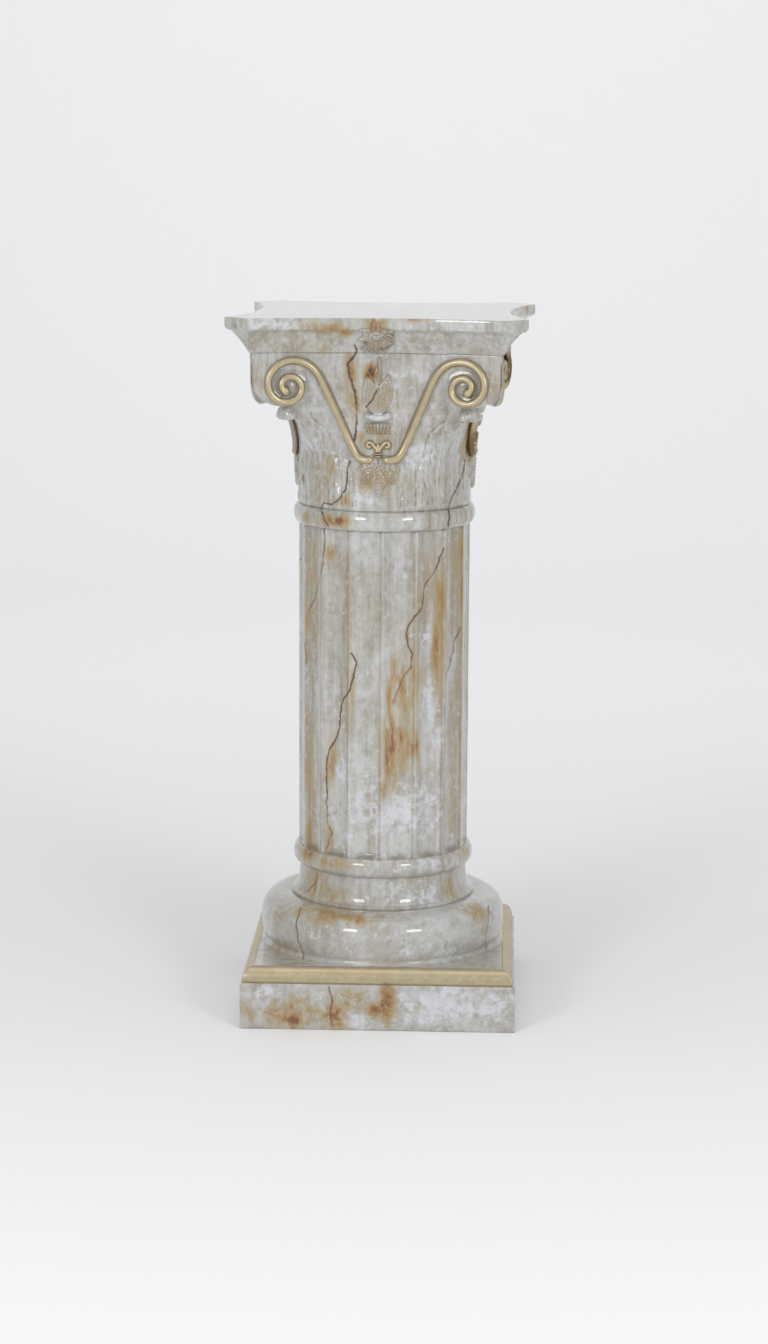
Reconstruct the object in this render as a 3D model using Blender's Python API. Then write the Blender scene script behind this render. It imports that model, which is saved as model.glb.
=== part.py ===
"""A display column in three castings: base, fluted shaft and scrolled capital.

Metres, +Z up. The origin is the centre of the plinth's underside, and the front face looks to -Y.
"""

from math import atan2, cos, exp, hypot, pi, radians, sin, sqrt

import bmesh
import bpy
from mathutils import Matrix, Vector

# Joints between the castings
JOINT_GAP = 0.0003

# Base: square plinth, gilded moulding, torus
PLINTH_WIDTH = 0.3105
PLINTH_HEIGHT = 0.0529
MOULDING_LEDGE = 0.0024
MOULDING_DEPTH = 0.0120
MOULDING_HEIGHT = 0.0177
TORUS_RADIUS = 0.1413
TORUS_HEIGHT = 0.0560
TORUS_FOOT_INSET = 0.0105
TORUS_ROUND = 0.0345
TORUS_FOOT_POWER = 2.5
TORUS_SHOULDER_POWER = 0.75

# Shaft: neck, lower ring, fluted drum
SHAFT_LENGTH = 0.4333
SHAFT_TURN = radians(1.5)
DRUM_RADIUS = 0.0981
FOOT_RADIUS = 0.1065
FOOT_EDGE = 0.0035
NECK_RADIUS = 0.0973
NECK_HEIGHT = 0.0361
NECK_FLARE_POWER = 0.8
LOWER_RING_HEIGHT = 0.0215
LOWER_RING_SWELL = 0.0072
FLUTES = 16
FLUTE_DEPTH = 0.0045
FLUTE_END = 0.0110

# Capital: ring, bell, abacus
CAPITAL_HEIGHT = 0.2395
CAPITAL_TURN = radians(-2.08)
UPPER_RING_HEIGHT = 0.0220
UPPER_RING_SWELL = 0.0062
UPPER_RING_SETBACK = 0.0012
BELL_FOOT_RADIUS = 0.0993
BELL_FLARE_POWER = 3.2
FLARE_HEIGHT = 0.117
ABACUS_HALF = 0.1660
ABACUS_CORNER_CUT = 0.0275
ABACUS_SAG = 0.0240
ABACUS_HEIGHT = 0.0400
FASCIA_HEIGHT = 0.0088
OVOLO_DEPTH = 0.0061
OVOLO_HEIGHT = 0.0055
FILLET = 0.0012
BAND_DEPTH = 0.0240
CORNER_LEAN = 0.86
LIP_SETBACK = 0.0006
ABACUS_LAP = 0.0016

# Scrolls and horns, on each face of the capital; drops are from the top of the abacus.
# The scroll's eye is set back from the end of the abacus's side, the rod rises from the bell
# to the horn's face over a share of the way to the eye, and the volute's foot is in half turns
EYE_SETBACK = 0.0425
EYE_DROP = 0.0757
SPIRAL_START = 0.0311
SPIRAL_SHRINK = 0.1384
SPIRAL_OFFSET = 0.0023
SPIRAL_TURNS = 1.40
SPIRAL_LEAD = radians(75)
ROD_RADIUS = 0.0038
ROD_SECTION = ((-1.0, -0.8), (-0.6, 0.75), (0.6, 0.75), (1.0, -0.8))
ROD_RISE_START = 0.6
ROD_RISE_RUN = 0.3
EYE_KNOB_RADIUS = 0.0054
HOOK_RADIUS = 0.0170
HOOK_OUT = 0.0130
HOOK_DROP = 0.1597
HOOK_TIP = radians(32)
HORN_ROUND = 0.0310
HORN_NOSE_DROP = 0.0670
HORN_NOSE_SHARE = 0.5
VOLUTE_FOOT = (0.96, 1.095, 1.23, 1.365, 1.5)
HORN_INNER_SETBACK = 0.0180

# Carving on each face and corner of the capital
LEAF_SIZE = 0.0500
LEAF_DROP = 0.1630
LEAF_RELIEF = 0.0045
LEAF_BUD_RADIUS = 0.0100
LEAF_BUD_STAND = 0.00462
LEAF_BUD_DROP = 0.1070
PALMETTE_SIZE = 0.0310
PALMETTE_DROP = 0.1690
PALMETTE_RELIEF = 0.0060
TREFOIL_SIZE = 0.0158
TREFOIL_DROP = 0.1446
TREFOIL_RELIEF = 0.0065
CUP_SIZE = 0.0155
CUP_DROP = 0.1235
CUP_RELIEF = 0.0058
CURL_SIZE = 0.0120
CURL_DROP = 0.1095
CURL_RELIEF = 0.0080
TULIP_SIZE = 0.0310
TULIP_DROP = 0.0790
TULIP_RELIEF = 0.0045
ROSETTE_SIZE = 0.0245
ROSETTE_DROP = 0.0225
ROSETTE_RELIEF = 0.0060
RELIEF_ROOT = 0.0060
CROWN_SHARE = 0.45
SHOULDER_SHARE = 0.94
SHOULDER_RISE = 0.70
ROSETTE_PETALS = 6
ROSETTE_NOTCH = 0.74

# How finely round forms are divided
AROUND = 48
TORUS_AROUND = 40
TORUS_FOOT_STEPS = 4
TORUS_SHOULDER_STEPS = 5
MOULDING_STEPS = 4
NECK_STEPS = 3
RING_STEPS = 5
FLUTE_STEPS = 3
FLUTE_END_LEVELS = (0.0, 0.12, 0.35, 1.0)
BELL_LEVELS = (0.005, 0.08, 0.22, 0.36, 0.48, 0.60, 0.71, 0.81, 0.90, 1.0)
SIDE_STEPS = 6
OVOLO_STEPS = 3
HOOK_STEPS = 3
SPIRAL_STEPS = 8
HORN_NOSE_STEPS = 6
MERGE_DISTANCE = 0.00002

# Places that follow from the sizes
BASE_TOP = PLINTH_HEIGHT + MOULDING_HEIGHT + TORUS_HEIGHT
SHAFT_FOOT = BASE_TOP + JOINT_GAP
SHAFT_TOP = SHAFT_FOOT + SHAFT_LENGTH
CAPITAL_FOOT = SHAFT_TOP + JOINT_GAP
COLUMN_TOP = CAPITAL_FOOT + CAPITAL_HEIGHT
ABACUS_FOOT = COLUMN_TOP - ABACUS_HEIGHT
BELL_FOOT = CAPITAL_FOOT + UPPER_RING_HEIGHT
SIDE_CHORD = ABACUS_HALF - ABACUS_CORNER_CUT
SIDE_RADIUS = (SIDE_CHORD ** 2 + ABACUS_SAG ** 2) / (2 * ABACUS_SAG)
SIDE_CENTRE = ABACUS_HALF - ABACUS_SAG + SIDE_RADIUS
EYE_OUT = SIDE_CHORD - EYE_SETBACK
EYE_HEIGHT = COLUMN_TOP - EYE_DROP
HORN_INNER_OUT = EYE_OUT - HORN_INNER_SETBACK
LIP_INSET = BAND_DEPTH + LIP_SETBACK
LAP_TOP = ABACUS_FOOT + ABACUS_LAP


def clear_scene():
    for item in list(bpy.data.objects):
        bpy.data.objects.remove(item, do_unlink=True)


def paint(name, colour, roughness, metallic=0.0):
    """A Principled material of one colour, given in linear light."""
    material = bpy.data.materials.new(name)
    material.use_nodes = True
    shader = material.node_tree.nodes["Principled BSDF"]
    shader.inputs["Base Color"].default_value = (*colour, 1.0)
    shader.inputs["Roughness"].default_value = roughness
    shader.inputs["Metallic"].default_value = metallic
    return material


def add_object(name, mesh, material=None):
    item = bpy.data.objects.new(name, mesh)
    if material:
        mesh.materials.clear()
        mesh.materials.append(material)
    bpy.context.scene.collection.objects.link(item)
    return item


def smoothstep(share):
    share = min(1.0, max(0.0, share))
    return share * share * (3 - 2 * share)


def tower(levels, count, place, poke_ends=False):
    """A closed body of one ring of points for each level; place(step, level) gives each point."""
    bm = bmesh.new()
    step = bm.verts.layers.int.new("step")
    ring = bmesh.ops.create_circle(bm, cap_ends=True, segments=count, radius=1.0)["verts"]
    for index, vert in enumerate(ring):
        vert[step] = index
    edges = list(bm.edges)
    for number, level in enumerate(levels):
        if number:
            made = bmesh.ops.extrude_edge_only(bm, edges=edges)["geom"]
            edges = [g for g in made if isinstance(g, bmesh.types.BMEdge) and g.is_boundary]
            ring = [g for g in made if isinstance(g, bmesh.types.BMVert)]
        for vert in ring:
            vert.co = place(vert[step], level)
    bmesh.ops.edgeloop_fill(bm, edges=edges)
    if poke_ends:
        ends = [face for face in bm.faces if len(face.verts) == count]
        bmesh.ops.poke(bm, faces=ends)
    bmesh.ops.recalc_face_normals(bm, faces=list(bm.faces))
    mesh = bpy.data.meshes.new("tower")
    bm.to_mesh(mesh)
    bm.free()
    return mesh


def turned(profile, count):
    """A solid of revolution from (radius, height) points listed upwards."""
    def place(step, level):
        angle = 2 * pi * step / count
        radius, height = level
        return Vector((radius * cos(angle), radius * sin(angle), height))
    return tower(profile, count, place)


def swell(radius, depth, foot, height):
    """Points of a half-round ring that stands out by depth, listed upwards."""
    points = []
    for index in range(RING_STEPS + 1):
        angle = -pi / 2 + pi * index / RING_STEPS
        points.append((radius + depth * cos(angle), foot + height * (1 + sin(angle)) / 2))
    return points


def unite(name, body, parts, material):
    """One closed body from a mesh and the meshes that grow out of it."""
    host = add_object(name, body, material)
    grown = bpy.data.collections.new(name + "_parts")
    for mesh in parts:
        grown.objects.link(bpy.data.objects.new("part", mesh))
    bpy.context.scene.collection.children.link(grown)
    join = host.modifiers.new("grow", "BOOLEAN")
    join.operation = "UNION"
    join.solver = "EXACT"
    join.operand_type = "COLLECTION"
    join.collection = grown
    bpy.context.view_layer.update()
    view = bpy.context.evaluated_depsgraph_get()
    host.data = bpy.data.meshes.new_from_object(host.evaluated_get(view))
    host.modifiers.clear()
    for item in list(grown.objects):
        bpy.data.objects.remove(item, do_unlink=True)
    bpy.data.collections.remove(grown)
    host.data.materials.clear()
    host.data.materials.append(material)
    return host


def finish(item, turn=0.0, sharp=radians(38)):
    """Clean the mesh, shade it smooth between sharp edges, and turn it on the axis."""
    bm = bmesh.new()
    bm.from_mesh(item.data)
    bmesh.ops.remove_doubles(bm, verts=list(bm.verts), dist=MERGE_DISTANCE)
    bmesh.ops.dissolve_degenerate(bm, edges=list(bm.edges), dist=MERGE_DISTANCE)
    bmesh.ops.triangulate(bm, faces=list(bm.faces))
    bm.to_mesh(item.data)
    bm.free()
    item.data.shade_smooth()
    item.data.set_sharp_from_angle(angle=sharp)
    item.rotation_euler.z = turn


# Base


def square_level(half_width, height):
    return [Vector((x * half_width, y * half_width, height)) for x, y in
            ((1, 1), (-1, 1), (-1, -1), (1, -1))]


def plinth_mesh():
    """Square slab with a quarter-round moulding set in on its top edge."""
    half = PLINTH_WIDTH / 2
    levels = [square_level(half, 0.0), square_level(half, PLINTH_HEIGHT)]
    for index in range(MOULDING_STEPS + 1):
        angle = pi / 2 * index / MOULDING_STEPS
        out = half - MOULDING_LEDGE - MOULDING_DEPTH * (1 - cos(angle))
        levels.append(square_level(out, PLINTH_HEIGHT + MOULDING_HEIGHT * sin(angle)))
    return tower(levels, 4, lambda step, level: level[step])


def torus_profile():
    """Full belly, flat on top where the shaft stands, drawn in a little at its foot."""
    foot = PLINTH_HEIGHT + MOULDING_HEIGHT
    middle = foot + TORUS_HEIGHT / 2
    points = [(TORUS_RADIUS - TORUS_FOOT_INSET, foot - RELIEF_ROOT)]
    for index in range(TORUS_FOOT_STEPS):
        share = index / TORUS_FOOT_STEPS
        out = (1 - (1 - share) ** TORUS_FOOT_POWER) ** (1 / TORUS_FOOT_POWER)
        points.append((TORUS_RADIUS - TORUS_FOOT_INSET * (1 - out), foot + share * TORUS_HEIGHT / 2))
    for index in range(TORUS_SHOULDER_STEPS + 1):
        angle = pi / 2 * index / TORUS_SHOULDER_STEPS
        out = max(0.0, cos(angle)) ** TORUS_SHOULDER_POWER
        rise = sin(angle) ** TORUS_SHOULDER_POWER
        radius = TORUS_RADIUS - TORUS_ROUND * (1 - out)
        points.append((radius, middle + rise * TORUS_HEIGHT / 2))
    return points


def make_base(material):
    torus = turned(torus_profile(), TORUS_AROUND)
    finish(unite("base", plinth_mesh(), [torus], material))


# Shaft


def flute_cut(step, height, run_start):
    """How deep the drum is hollowed at this step of the ring; the flutes end in a round below."""
    share = (step % FLUTE_STEPS) / FLUTE_STEPS
    across = 2 * share - 1
    rise = min(1.0, max(0.0, (height - run_start) / FLUTE_END))
    hollow = (1 - across ** 2) - (1 - rise) ** 2
    return FLUTE_DEPTH * max(0.0, hollow)


def shaft_levels():
    """(radius, height, fluted) from the foot upwards."""
    levels = [(FOOT_RADIUS, SHAFT_FOOT), (FOOT_RADIUS, SHAFT_FOOT + FOOT_EDGE)]
    flare = FOOT_RADIUS - NECK_RADIUS
    flare_height = NECK_HEIGHT - FOOT_EDGE
    for index in range(1, NECK_STEPS + 1):
        angle = pi / 2 * index / NECK_STEPS
        radius = FOOT_RADIUS - flare * sin(angle) ** NECK_FLARE_POWER
        levels.append((radius, SHAFT_FOOT + FOOT_EDGE + flare_height * (1 - cos(angle))))
    ring_foot = SHAFT_FOOT + NECK_HEIGHT
    levels += swell(NECK_RADIUS, LOWER_RING_SWELL, ring_foot, LOWER_RING_HEIGHT)[1:-1]
    plain = [(radius, height, False) for radius, height in levels]
    drum_foot = ring_foot + LOWER_RING_HEIGHT
    for share in FLUTE_END_LEVELS:
        plain.append((DRUM_RADIUS, drum_foot + share * FLUTE_END, True))
    plain.append((DRUM_RADIUS, SHAFT_TOP, True))
    return plain, drum_foot


def make_shaft(material):
    levels, drum_foot = shaft_levels()
    count = FLUTES * FLUTE_STEPS

    def place(step, level):
        radius, height, fluted = level
        if fluted:
            radius -= flute_cut(step, height, drum_foot)
        angle = 2 * pi * step / count - pi / 2
        return Vector((radius * cos(angle), radius * sin(angle), height))
    finish(add_object("shaft", tower(levels, count, place), material), SHAFT_TURN, radians(24))


# Capital: outlines


def side_line(out, inset):
    """Distance of a concave side from the axis, at a distance out from its middle."""
    return SIDE_CENTRE - sqrt((SIDE_RADIUS + inset) ** 2 - out ** 2)


def corner_sum(inset):
    """x + y along the face that cuts a corner off."""
    return 2 * ABACUS_HALF - ABACUS_CORNER_CUT - inset * CORNER_LEAN * sqrt(2)


def corner_out(inset):
    """Where a side meets the cut corner, out from the side's middle."""
    low, high = 0.0, ABACUS_HALF
    for _ in range(40):
        middle = (low + high) / 2
        if middle + side_line(middle, inset) < corner_sum(inset):
            low = middle
        else:
            high = middle
    return low


def plan_reach(angle, inset):
    """Distance from the axis to the plan outline; angle is from the nearest face's middle."""
    reach = side_line(0.0, inset)
    for _ in range(12):
        reach = side_line(reach * sin(angle), inset) / cos(angle)
    return min(reach, corner_sum(inset) / (cos(angle) + abs(sin(angle))))


def from_face(angle):
    """Angle from the middle of the nearest face, -45 to 45 degrees."""
    return (angle + pi / 4) % (pi / 2) - pi / 4


def bell_reach(angle, height):
    """The bell's skin: round at its foot, and the abacus's outline at its lip."""
    rise = min(1.0, (height - BELL_FOOT) / (ABACUS_FOOT - BELL_FOOT))
    round_reach = BELL_FOOT_RADIUS
    round_reach += (side_line(0.0, LIP_INSET) - BELL_FOOT_RADIUS) * max(0.0, rise) ** BELL_FLARE_POWER
    turn = from_face(angle)
    square_reach = plan_reach(turn, LIP_INSET)
    share = smoothstep(1 - (ABACUS_FOOT - height) / FLARE_HEIGHT)
    return round_reach + (square_reach - round_reach) * share


def skin_depth(out, height, middle=0.0):
    """How far the bell's skin stands from the axis, out to one side of a face's or corner's middle."""
    depth = BELL_FOOT_RADIUS
    for _ in range(10):
        reach = bell_reach(middle + atan2(out, depth), height)
        depth = sqrt(max(reach ** 2 - out ** 2, 0.0))
    return depth


def abacus_depth(out, height):
    """Distance from the axis plane to the abacus's side."""
    down = COLUMN_TOP - height
    fascia_foot = FASCIA_HEIGHT + OVOLO_HEIGHT
    if down < fascia_foot:
        inset = 0.0
    else:
        share = min(1.0, (down - fascia_foot) / (ABACUS_HEIGHT - fascia_foot))
        inset = OVOLO_DEPTH + (BAND_DEPTH - OVOLO_DEPTH) * share
    return side_line(out, inset)


def bell_mesh():
    """Ring and bell in one body that runs up into the abacus."""
    ring = swell(BELL_FOOT_RADIUS - UPPER_RING_SETBACK, UPPER_RING_SWELL, CAPITAL_FOOT, UPPER_RING_HEIGHT)
    levels = [(radius, height, False) for radius, height in ring]
    bell_height = ABACUS_FOOT - BELL_FOOT
    for share in BELL_LEVELS:
        levels.append((0.0, BELL_FOOT + share * bell_height, True))
    levels.append((0.0, LAP_TOP, True))

    def place(step, level):
        radius, height, shaped = level
        angle = 2 * pi * step / AROUND - pi / 2
        reach = bell_reach(angle + pi / 2, height) if shaped else radius
        return Vector((reach * cos(angle), reach * sin(angle), height))
    return tower(levels, AROUND, place)


def abacus_levels():
    """(inset, height) from the underside up: slanting band, fillet, ovolo, fascia."""
    top = COLUMN_TOP - FASCIA_HEIGHT - OVOLO_HEIGHT
    levels = [(BAND_DEPTH, ABACUS_FOOT), (OVOLO_DEPTH + FILLET, top - FILLET), (OVOLO_DEPTH, top)]
    for index in range(1, OVOLO_STEPS + 1):
        angle = pi / 2 * index / OVOLO_STEPS
        levels.append((OVOLO_DEPTH * (1 - sin(angle)), top + OVOLO_HEIGHT * (1 - cos(angle))))
    levels.append((0.0, COLUMN_TOP))
    return levels


def abacus_mesh():
    steps = SIDE_STEPS + 1

    def place(step, level):
        inset, height = level
        side, index = divmod(step, steps)
        out = corner_out(inset) * (2 * index / SIDE_STEPS - 1)
        point = Vector((out, -side_line(out, inset), height))
        return Matrix.Rotation(side * pi / 2, 3, "Z") @ point
    return tower(abacus_levels(), 4 * steps, place)


# Capital: scrolls and horns


def spiral_point(turn):
    """(out, height) on the scroll, turn in radians past its top, inwards."""
    radius = SPIRAL_START * exp(-SPIRAL_SHRINK * turn) - SPIRAL_OFFSET
    return EYE_OUT + radius * sin(turn), EYE_HEIGHT + radius * cos(turn)


def scroll_path():
    """(out, height) from the hook at the face's middle to the scroll's eye."""
    start = spiral_point(-SPIRAL_LEAD)
    centre = (HOOK_OUT, COLUMN_TOP - HOOK_DROP + HOOK_RADIUS)
    run = (start[0] - centre[0], start[1] - centre[1])
    slope = atan2(run[1], run[0]) - atan2(HOOK_RADIUS, sqrt(hypot(*run) ** 2 - HOOK_RADIUS ** 2))
    path = []
    for index in range(HOOK_STEPS + 1):
        angle = -pi / 2 - HOOK_TIP + (HOOK_TIP + slope) * index / HOOK_STEPS
        path.append((centre[0] + HOOK_RADIUS * cos(angle), centre[1] + HOOK_RADIUS * sin(angle)))
    last = path[-1]
    path.append(((last[0] + start[0]) / 2, (last[1] + start[1]) / 2))
    turns = int(SPIRAL_TURNS * SPIRAL_STEPS)
    for index in range(turns + 1):
        turn = -SPIRAL_LEAD + (SPIRAL_LEAD + SPIRAL_TURNS * 2 * pi) * index / turns
        path.append(spiral_point(turn))
    return path


def rod_depth(out, height):
    """The rod lies on the bell's skin and passes over to the horn's front face."""
    share = smoothstep((out / EYE_OUT - ROD_RISE_START) / ROD_RISE_RUN)
    front = side_line(out, LIP_INSET)
    return skin_depth(out, height) * (1 - share) + front * share


def rod_mesh(hand):
    """A half-buried rod along the scroll, on the left (-1) or right (1) of a face."""
    path = scroll_path()

    def place(step, level):
        out, height = path[level]
        before, after = path[max(level - 1, 0)], path[min(level + 1, len(path) - 1)]
        along = Vector((after[0] - before[0], after[1] - before[1])).normalized()
        across, lift = ROD_SECTION[step]
        side = ROD_RADIUS * across
        depth = rod_depth(out, height) + ROD_RADIUS * lift
        return Vector((hand * (out - along.y * side), -depth, height + along.x * side))
    return tower(range(len(path)), len(ROD_SECTION), place)


def eye_knob(hand):
    """The knob that the rod winds up to."""
    out, height = spiral_point(SPIRAL_TURNS * 2 * pi)
    bm = bmesh.new()
    bmesh.ops.create_icosphere(bm, subdivisions=1, radius=EYE_KNOB_RADIUS)
    place = Vector((hand * out, -rod_depth(out, height), height))
    bmesh.ops.translate(bm, vec=place, verts=list(bm.verts))
    mesh = bpy.data.meshes.new("knob")
    bm.to_mesh(mesh)
    bm.free()
    return mesh


def horn_outline():
    """(out, height) around a horn's front face: the volute, and the rounded nose beyond it."""
    nose_out = corner_out(LIP_INSET)
    nose_height = COLUMN_TOP - HORN_NOSE_DROP
    points = [(nose_out, LAP_TOP)]
    for index in range(HORN_NOSE_STEPS):
        angle = -pi / 2 * index / HORN_NOSE_STEPS
        points.append((nose_out - HORN_ROUND * (1 - cos(angle)), nose_height + HORN_ROUND * sin(angle)))
    for half_turns in VOLUTE_FOOT:
        turn = pi * half_turns
        out, height = spiral_point(turn)
        points.append((out + ROD_RADIUS * sin(turn), height + ROD_RADIUS * cos(turn)))
    points.append((HORN_INNER_OUT, LAP_TOP))
    return points


def horn_mesh():
    """A horn: the front face's outline carried round the corner to the next face."""
    outline = horn_outline()
    nose_out = corner_out(LIP_INSET)

    def place(step, level):
        out, height = outline[step]
        front = side_line(out, LIP_INSET)
        nose = smoothstep(1 - (nose_out - out) / (HORN_NOSE_SHARE * HORN_ROUND))
        middle = out + (front - out) / 2 * nose
        if level == 0:
            return Vector((out, -front, height))
        if level == 1:
            return Vector((middle, -middle, height))
        return Vector((front, -out, height))
    return tower((0, 1, 2), len(outline), place, poke_ends=True)


# Capital: carved ornaments


def mirrored(half):
    """A closed outline from the points of its right half, listed from the bottom to the top."""
    left = [(-x, y) for x, y in reversed(half) if abs(x) > 1e-6]
    return half + left


def raised(outline, size, drop, relief, depth_at):
    """An ornament that grows out of the surface: its outline, a shoulder and a crown."""
    height = COLUMN_TOP - drop
    levels = ((CROWN_SHARE, -RELIEF_ROOT), (1.0, -RELIEF_ROOT), (SHOULDER_SHARE, SHOULDER_RISE * relief),
              (CROWN_SHARE, relief))

    def place(step, level):
        scale, lift = level
        out = outline[step][0] * size * scale
        up = height + outline[step][1] * size * scale
        return Vector((out, -depth_at(out, up) - lift, up))
    return tower(levels, len(outline), place, poke_ends=True)


def palmette_outline():
    """A leaf of five lobes that points down; polar points, angle from straight down."""
    lobes = ((0, 1.0), (22, 0.62), (42, 0.74), (58, 0.60), (80, 0.86), (98, 0.62), (118, 0.72),
             (145, 0.42), (180, 0.34))
    half = [(share * sin(radians(a)), -share * cos(radians(a))) for a, share in lobes]
    return mirrored(half)


def leaf_outline():
    """A broad leaf with two lobes on each side."""
    return mirrored([(0.0, -1.0), (0.66, -1.0), (0.80, -0.52), (0.64, -0.30), (0.78, 0.12),
                     (0.52, 0.34), (0.26, 0.88), (0.0, 1.0)])


def trefoil_outline():
    """Two curls on a short stem."""
    return mirrored([(0.0, -0.50), (0.34, -0.46), (0.26, -0.12), (0.66, -0.26), (1.0, 0.16),
                     (0.62, 0.54), (0.0, 0.34)])


def cup_outline():
    return mirrored([(0.0, -0.44), (0.84, -0.44), (1.0, 0.40), (0.0, 0.46)])


def curl_outline():
    points = []
    for index in range(5):
        angle = -pi / 2 + pi * index / 4
        points.append((cos(angle), 0.45 * sin(angle)))
    return mirrored(points)


def tulip_outline():
    """Two leaves that open upwards from one foot, with a bud between them."""
    return mirrored([(0.0, -0.95), (0.32, -0.66), (0.60, -0.15), (0.70, 0.40), (0.64, 0.92),
                     (0.30, 0.60), (0.0, 0.92)])


def rosette_outline():
    """Petals round a middle, a little wider than high."""
    points = []
    for index in range(2 * ROSETTE_PETALS):
        angle = pi * index / ROSETTE_PETALS
        share = 1.0 if index % 2 else ROSETTE_NOTCH
        points.append((1.05 * share * cos(angle), 0.82 * share * sin(angle)))
    return points


def bud_mesh():
    """The curled tip of a corner leaf, under the horn."""
    bm = bmesh.new()
    bmesh.ops.create_icosphere(bm, subdivisions=1, radius=LEAF_BUD_RADIUS)
    height = COLUMN_TOP - LEAF_BUD_DROP
    out = (skin_depth(0.0, height, pi / 4) + LEAF_BUD_STAND) / sqrt(2)
    place = Vector((out, -out, height))
    bmesh.ops.translate(bm, vec=place, verts=list(bm.verts))
    mesh = bpy.data.meshes.new("bud")
    bm.to_mesh(mesh)
    bm.free()
    return mesh


def face_parts():
    """Everything that grows out of one face and the corner to its right."""
    def clipped_depth(out, height):
        return skin_depth(out, min(height, ABACUS_FOOT))

    def corner_depth(out, height):
        return skin_depth(out, height, pi / 4)
    leaf = raised(leaf_outline(), LEAF_SIZE, LEAF_DROP, LEAF_RELIEF, corner_depth)
    leaf.transform(Matrix.Rotation(pi / 4, 4, "Z"))
    return [
        leaf,
        rod_mesh(-1),
        rod_mesh(1),
        eye_knob(-1),
        eye_knob(1),
        horn_mesh(),
        bud_mesh(),
        raised(palmette_outline(), PALMETTE_SIZE, PALMETTE_DROP, PALMETTE_RELIEF, clipped_depth),
        raised(trefoil_outline(), TREFOIL_SIZE, TREFOIL_DROP, TREFOIL_RELIEF, clipped_depth),
        raised(cup_outline(), CUP_SIZE, CUP_DROP, CUP_RELIEF, clipped_depth),
        raised(curl_outline(), CURL_SIZE, CURL_DROP, CURL_RELIEF, clipped_depth),
        raised(tulip_outline(), TULIP_SIZE, TULIP_DROP, TULIP_RELIEF, clipped_depth),
        raised(rosette_outline(), ROSETTE_SIZE, ROSETTE_DROP, ROSETTE_RELIEF, abacus_depth),
    ]


def make_capital(material):
    parts = [abacus_mesh()]
    one_face = face_parts()
    for side in range(4):
        turn = Matrix.Rotation(side * pi / 2, 4, "Z")
        for mesh in one_face:
            copy = mesh.copy()
            copy.transform(turn)
            parts.append(copy)
    finish(unite("capital", bell_mesh(), parts, material), CAPITAL_TURN)


def main():
    clear_scene()
    make_base(paint("faux marble, base", (0.42, 0.40, 0.37), 0.18))
    make_shaft(paint("faux marble, shaft", (0.43, 0.41, 0.38), 0.18))
    make_capital(paint("faux marble, capital", (0.41, 0.40, 0.37), 0.20))


main()
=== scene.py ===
from math import atan2, cos, exp, hypot, pi, radians, sin, sqrt

import bmesh
import bpy
import numpy as np
from mathutils import Matrix, Vector, noise
from mathutils.bvhtree import BVHTree
from mathutils.kdtree import KDTree


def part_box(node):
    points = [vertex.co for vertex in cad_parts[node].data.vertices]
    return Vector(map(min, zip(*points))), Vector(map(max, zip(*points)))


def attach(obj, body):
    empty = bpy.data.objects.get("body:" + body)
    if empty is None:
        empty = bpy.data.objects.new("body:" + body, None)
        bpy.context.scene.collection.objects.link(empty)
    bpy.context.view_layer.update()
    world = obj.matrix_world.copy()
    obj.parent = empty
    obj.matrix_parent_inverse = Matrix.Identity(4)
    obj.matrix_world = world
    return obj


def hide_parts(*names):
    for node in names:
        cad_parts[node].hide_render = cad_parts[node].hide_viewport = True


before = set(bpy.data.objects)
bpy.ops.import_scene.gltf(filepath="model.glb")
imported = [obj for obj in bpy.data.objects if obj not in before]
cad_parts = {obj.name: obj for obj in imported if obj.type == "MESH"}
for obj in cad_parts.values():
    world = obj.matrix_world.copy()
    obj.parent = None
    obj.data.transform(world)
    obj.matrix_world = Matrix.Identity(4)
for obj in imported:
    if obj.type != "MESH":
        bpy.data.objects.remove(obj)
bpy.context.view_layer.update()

MM = 0.001

# The photograph's frame and the camera that took it
PHOTO_WIDTH = 768
PHOTO_HEIGHT = 1344
FOCAL_PIXELS = 2968.34
SENSOR_MM = 36.0
CAMERA_PLACE = Vector((0.12753, -3.37490, 1.01387))
CAMERA_PITCH = radians(10.573)
CAMERA_ROLL = radians(0.292)
CAMERA_PAN = radians(0.004)
CAMERA_TURN = radians(2.164)

# Heights of the three castings, from model.glb's parts
BASE_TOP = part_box("base")[1].z
SHAFT_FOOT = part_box("shaft")[0].z
SHAFT_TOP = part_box("shaft")[1].z
CAPITAL_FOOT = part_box("capital")[0].z
COLUMN_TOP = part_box("capital")[1].z

# Base
PLINTH_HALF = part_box("base")[1].x
PLINTH_HEIGHT = 0.0529
EDGE_ROUND = 0.0011
MOULDING_LEDGE = 0.0024
MOULDING_DEPTH = 0.0120
MOULDING_HEIGHT = 0.0177
TORUS_RADIUS = 0.1413
TORUS_HEIGHT = 0.0560
TORUS_FOOT_INSET = 0.0105
TORUS_ROUND = 0.0345
TORUS_FOOT_POWER = 2.5
TORUS_SHOULDER_POWER = 0.75
TORUS_COVE = 0.0050
QUIRK_HEIGHT = 0.0016
QUIRK_SINK = 0.0003
TOP_SINK = 0.0003
TOP_EDGE = 0.0006
PLINTH_COLUMNS = 110
PLINTH_CORNER_COLUMNS = 4
# Painted shade in the quirk under the gilded moulding
QUIRK_SHADE = 0.45

# Shaft
SHAFT_TURN = radians(1.5)
DRUM_RADIUS = 0.0981
FOOT_RADIUS = 0.1065
FOOT_EDGE = 0.0035
NECK_RADIUS = 0.0973
NECK_HEIGHT = 0.0361
NECK_FLARE_POWER = 0.8
LOWER_RING_HEIGHT = 0.0215
LOWER_RING_SWELL = 0.0072
FLUTES = 16
FLUTE_DEPTH = 0.0045
FLUTE_END = 0.0110
ARRIS_WIDTH = 0.10
FLUTE_COLUMNS = 28

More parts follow.
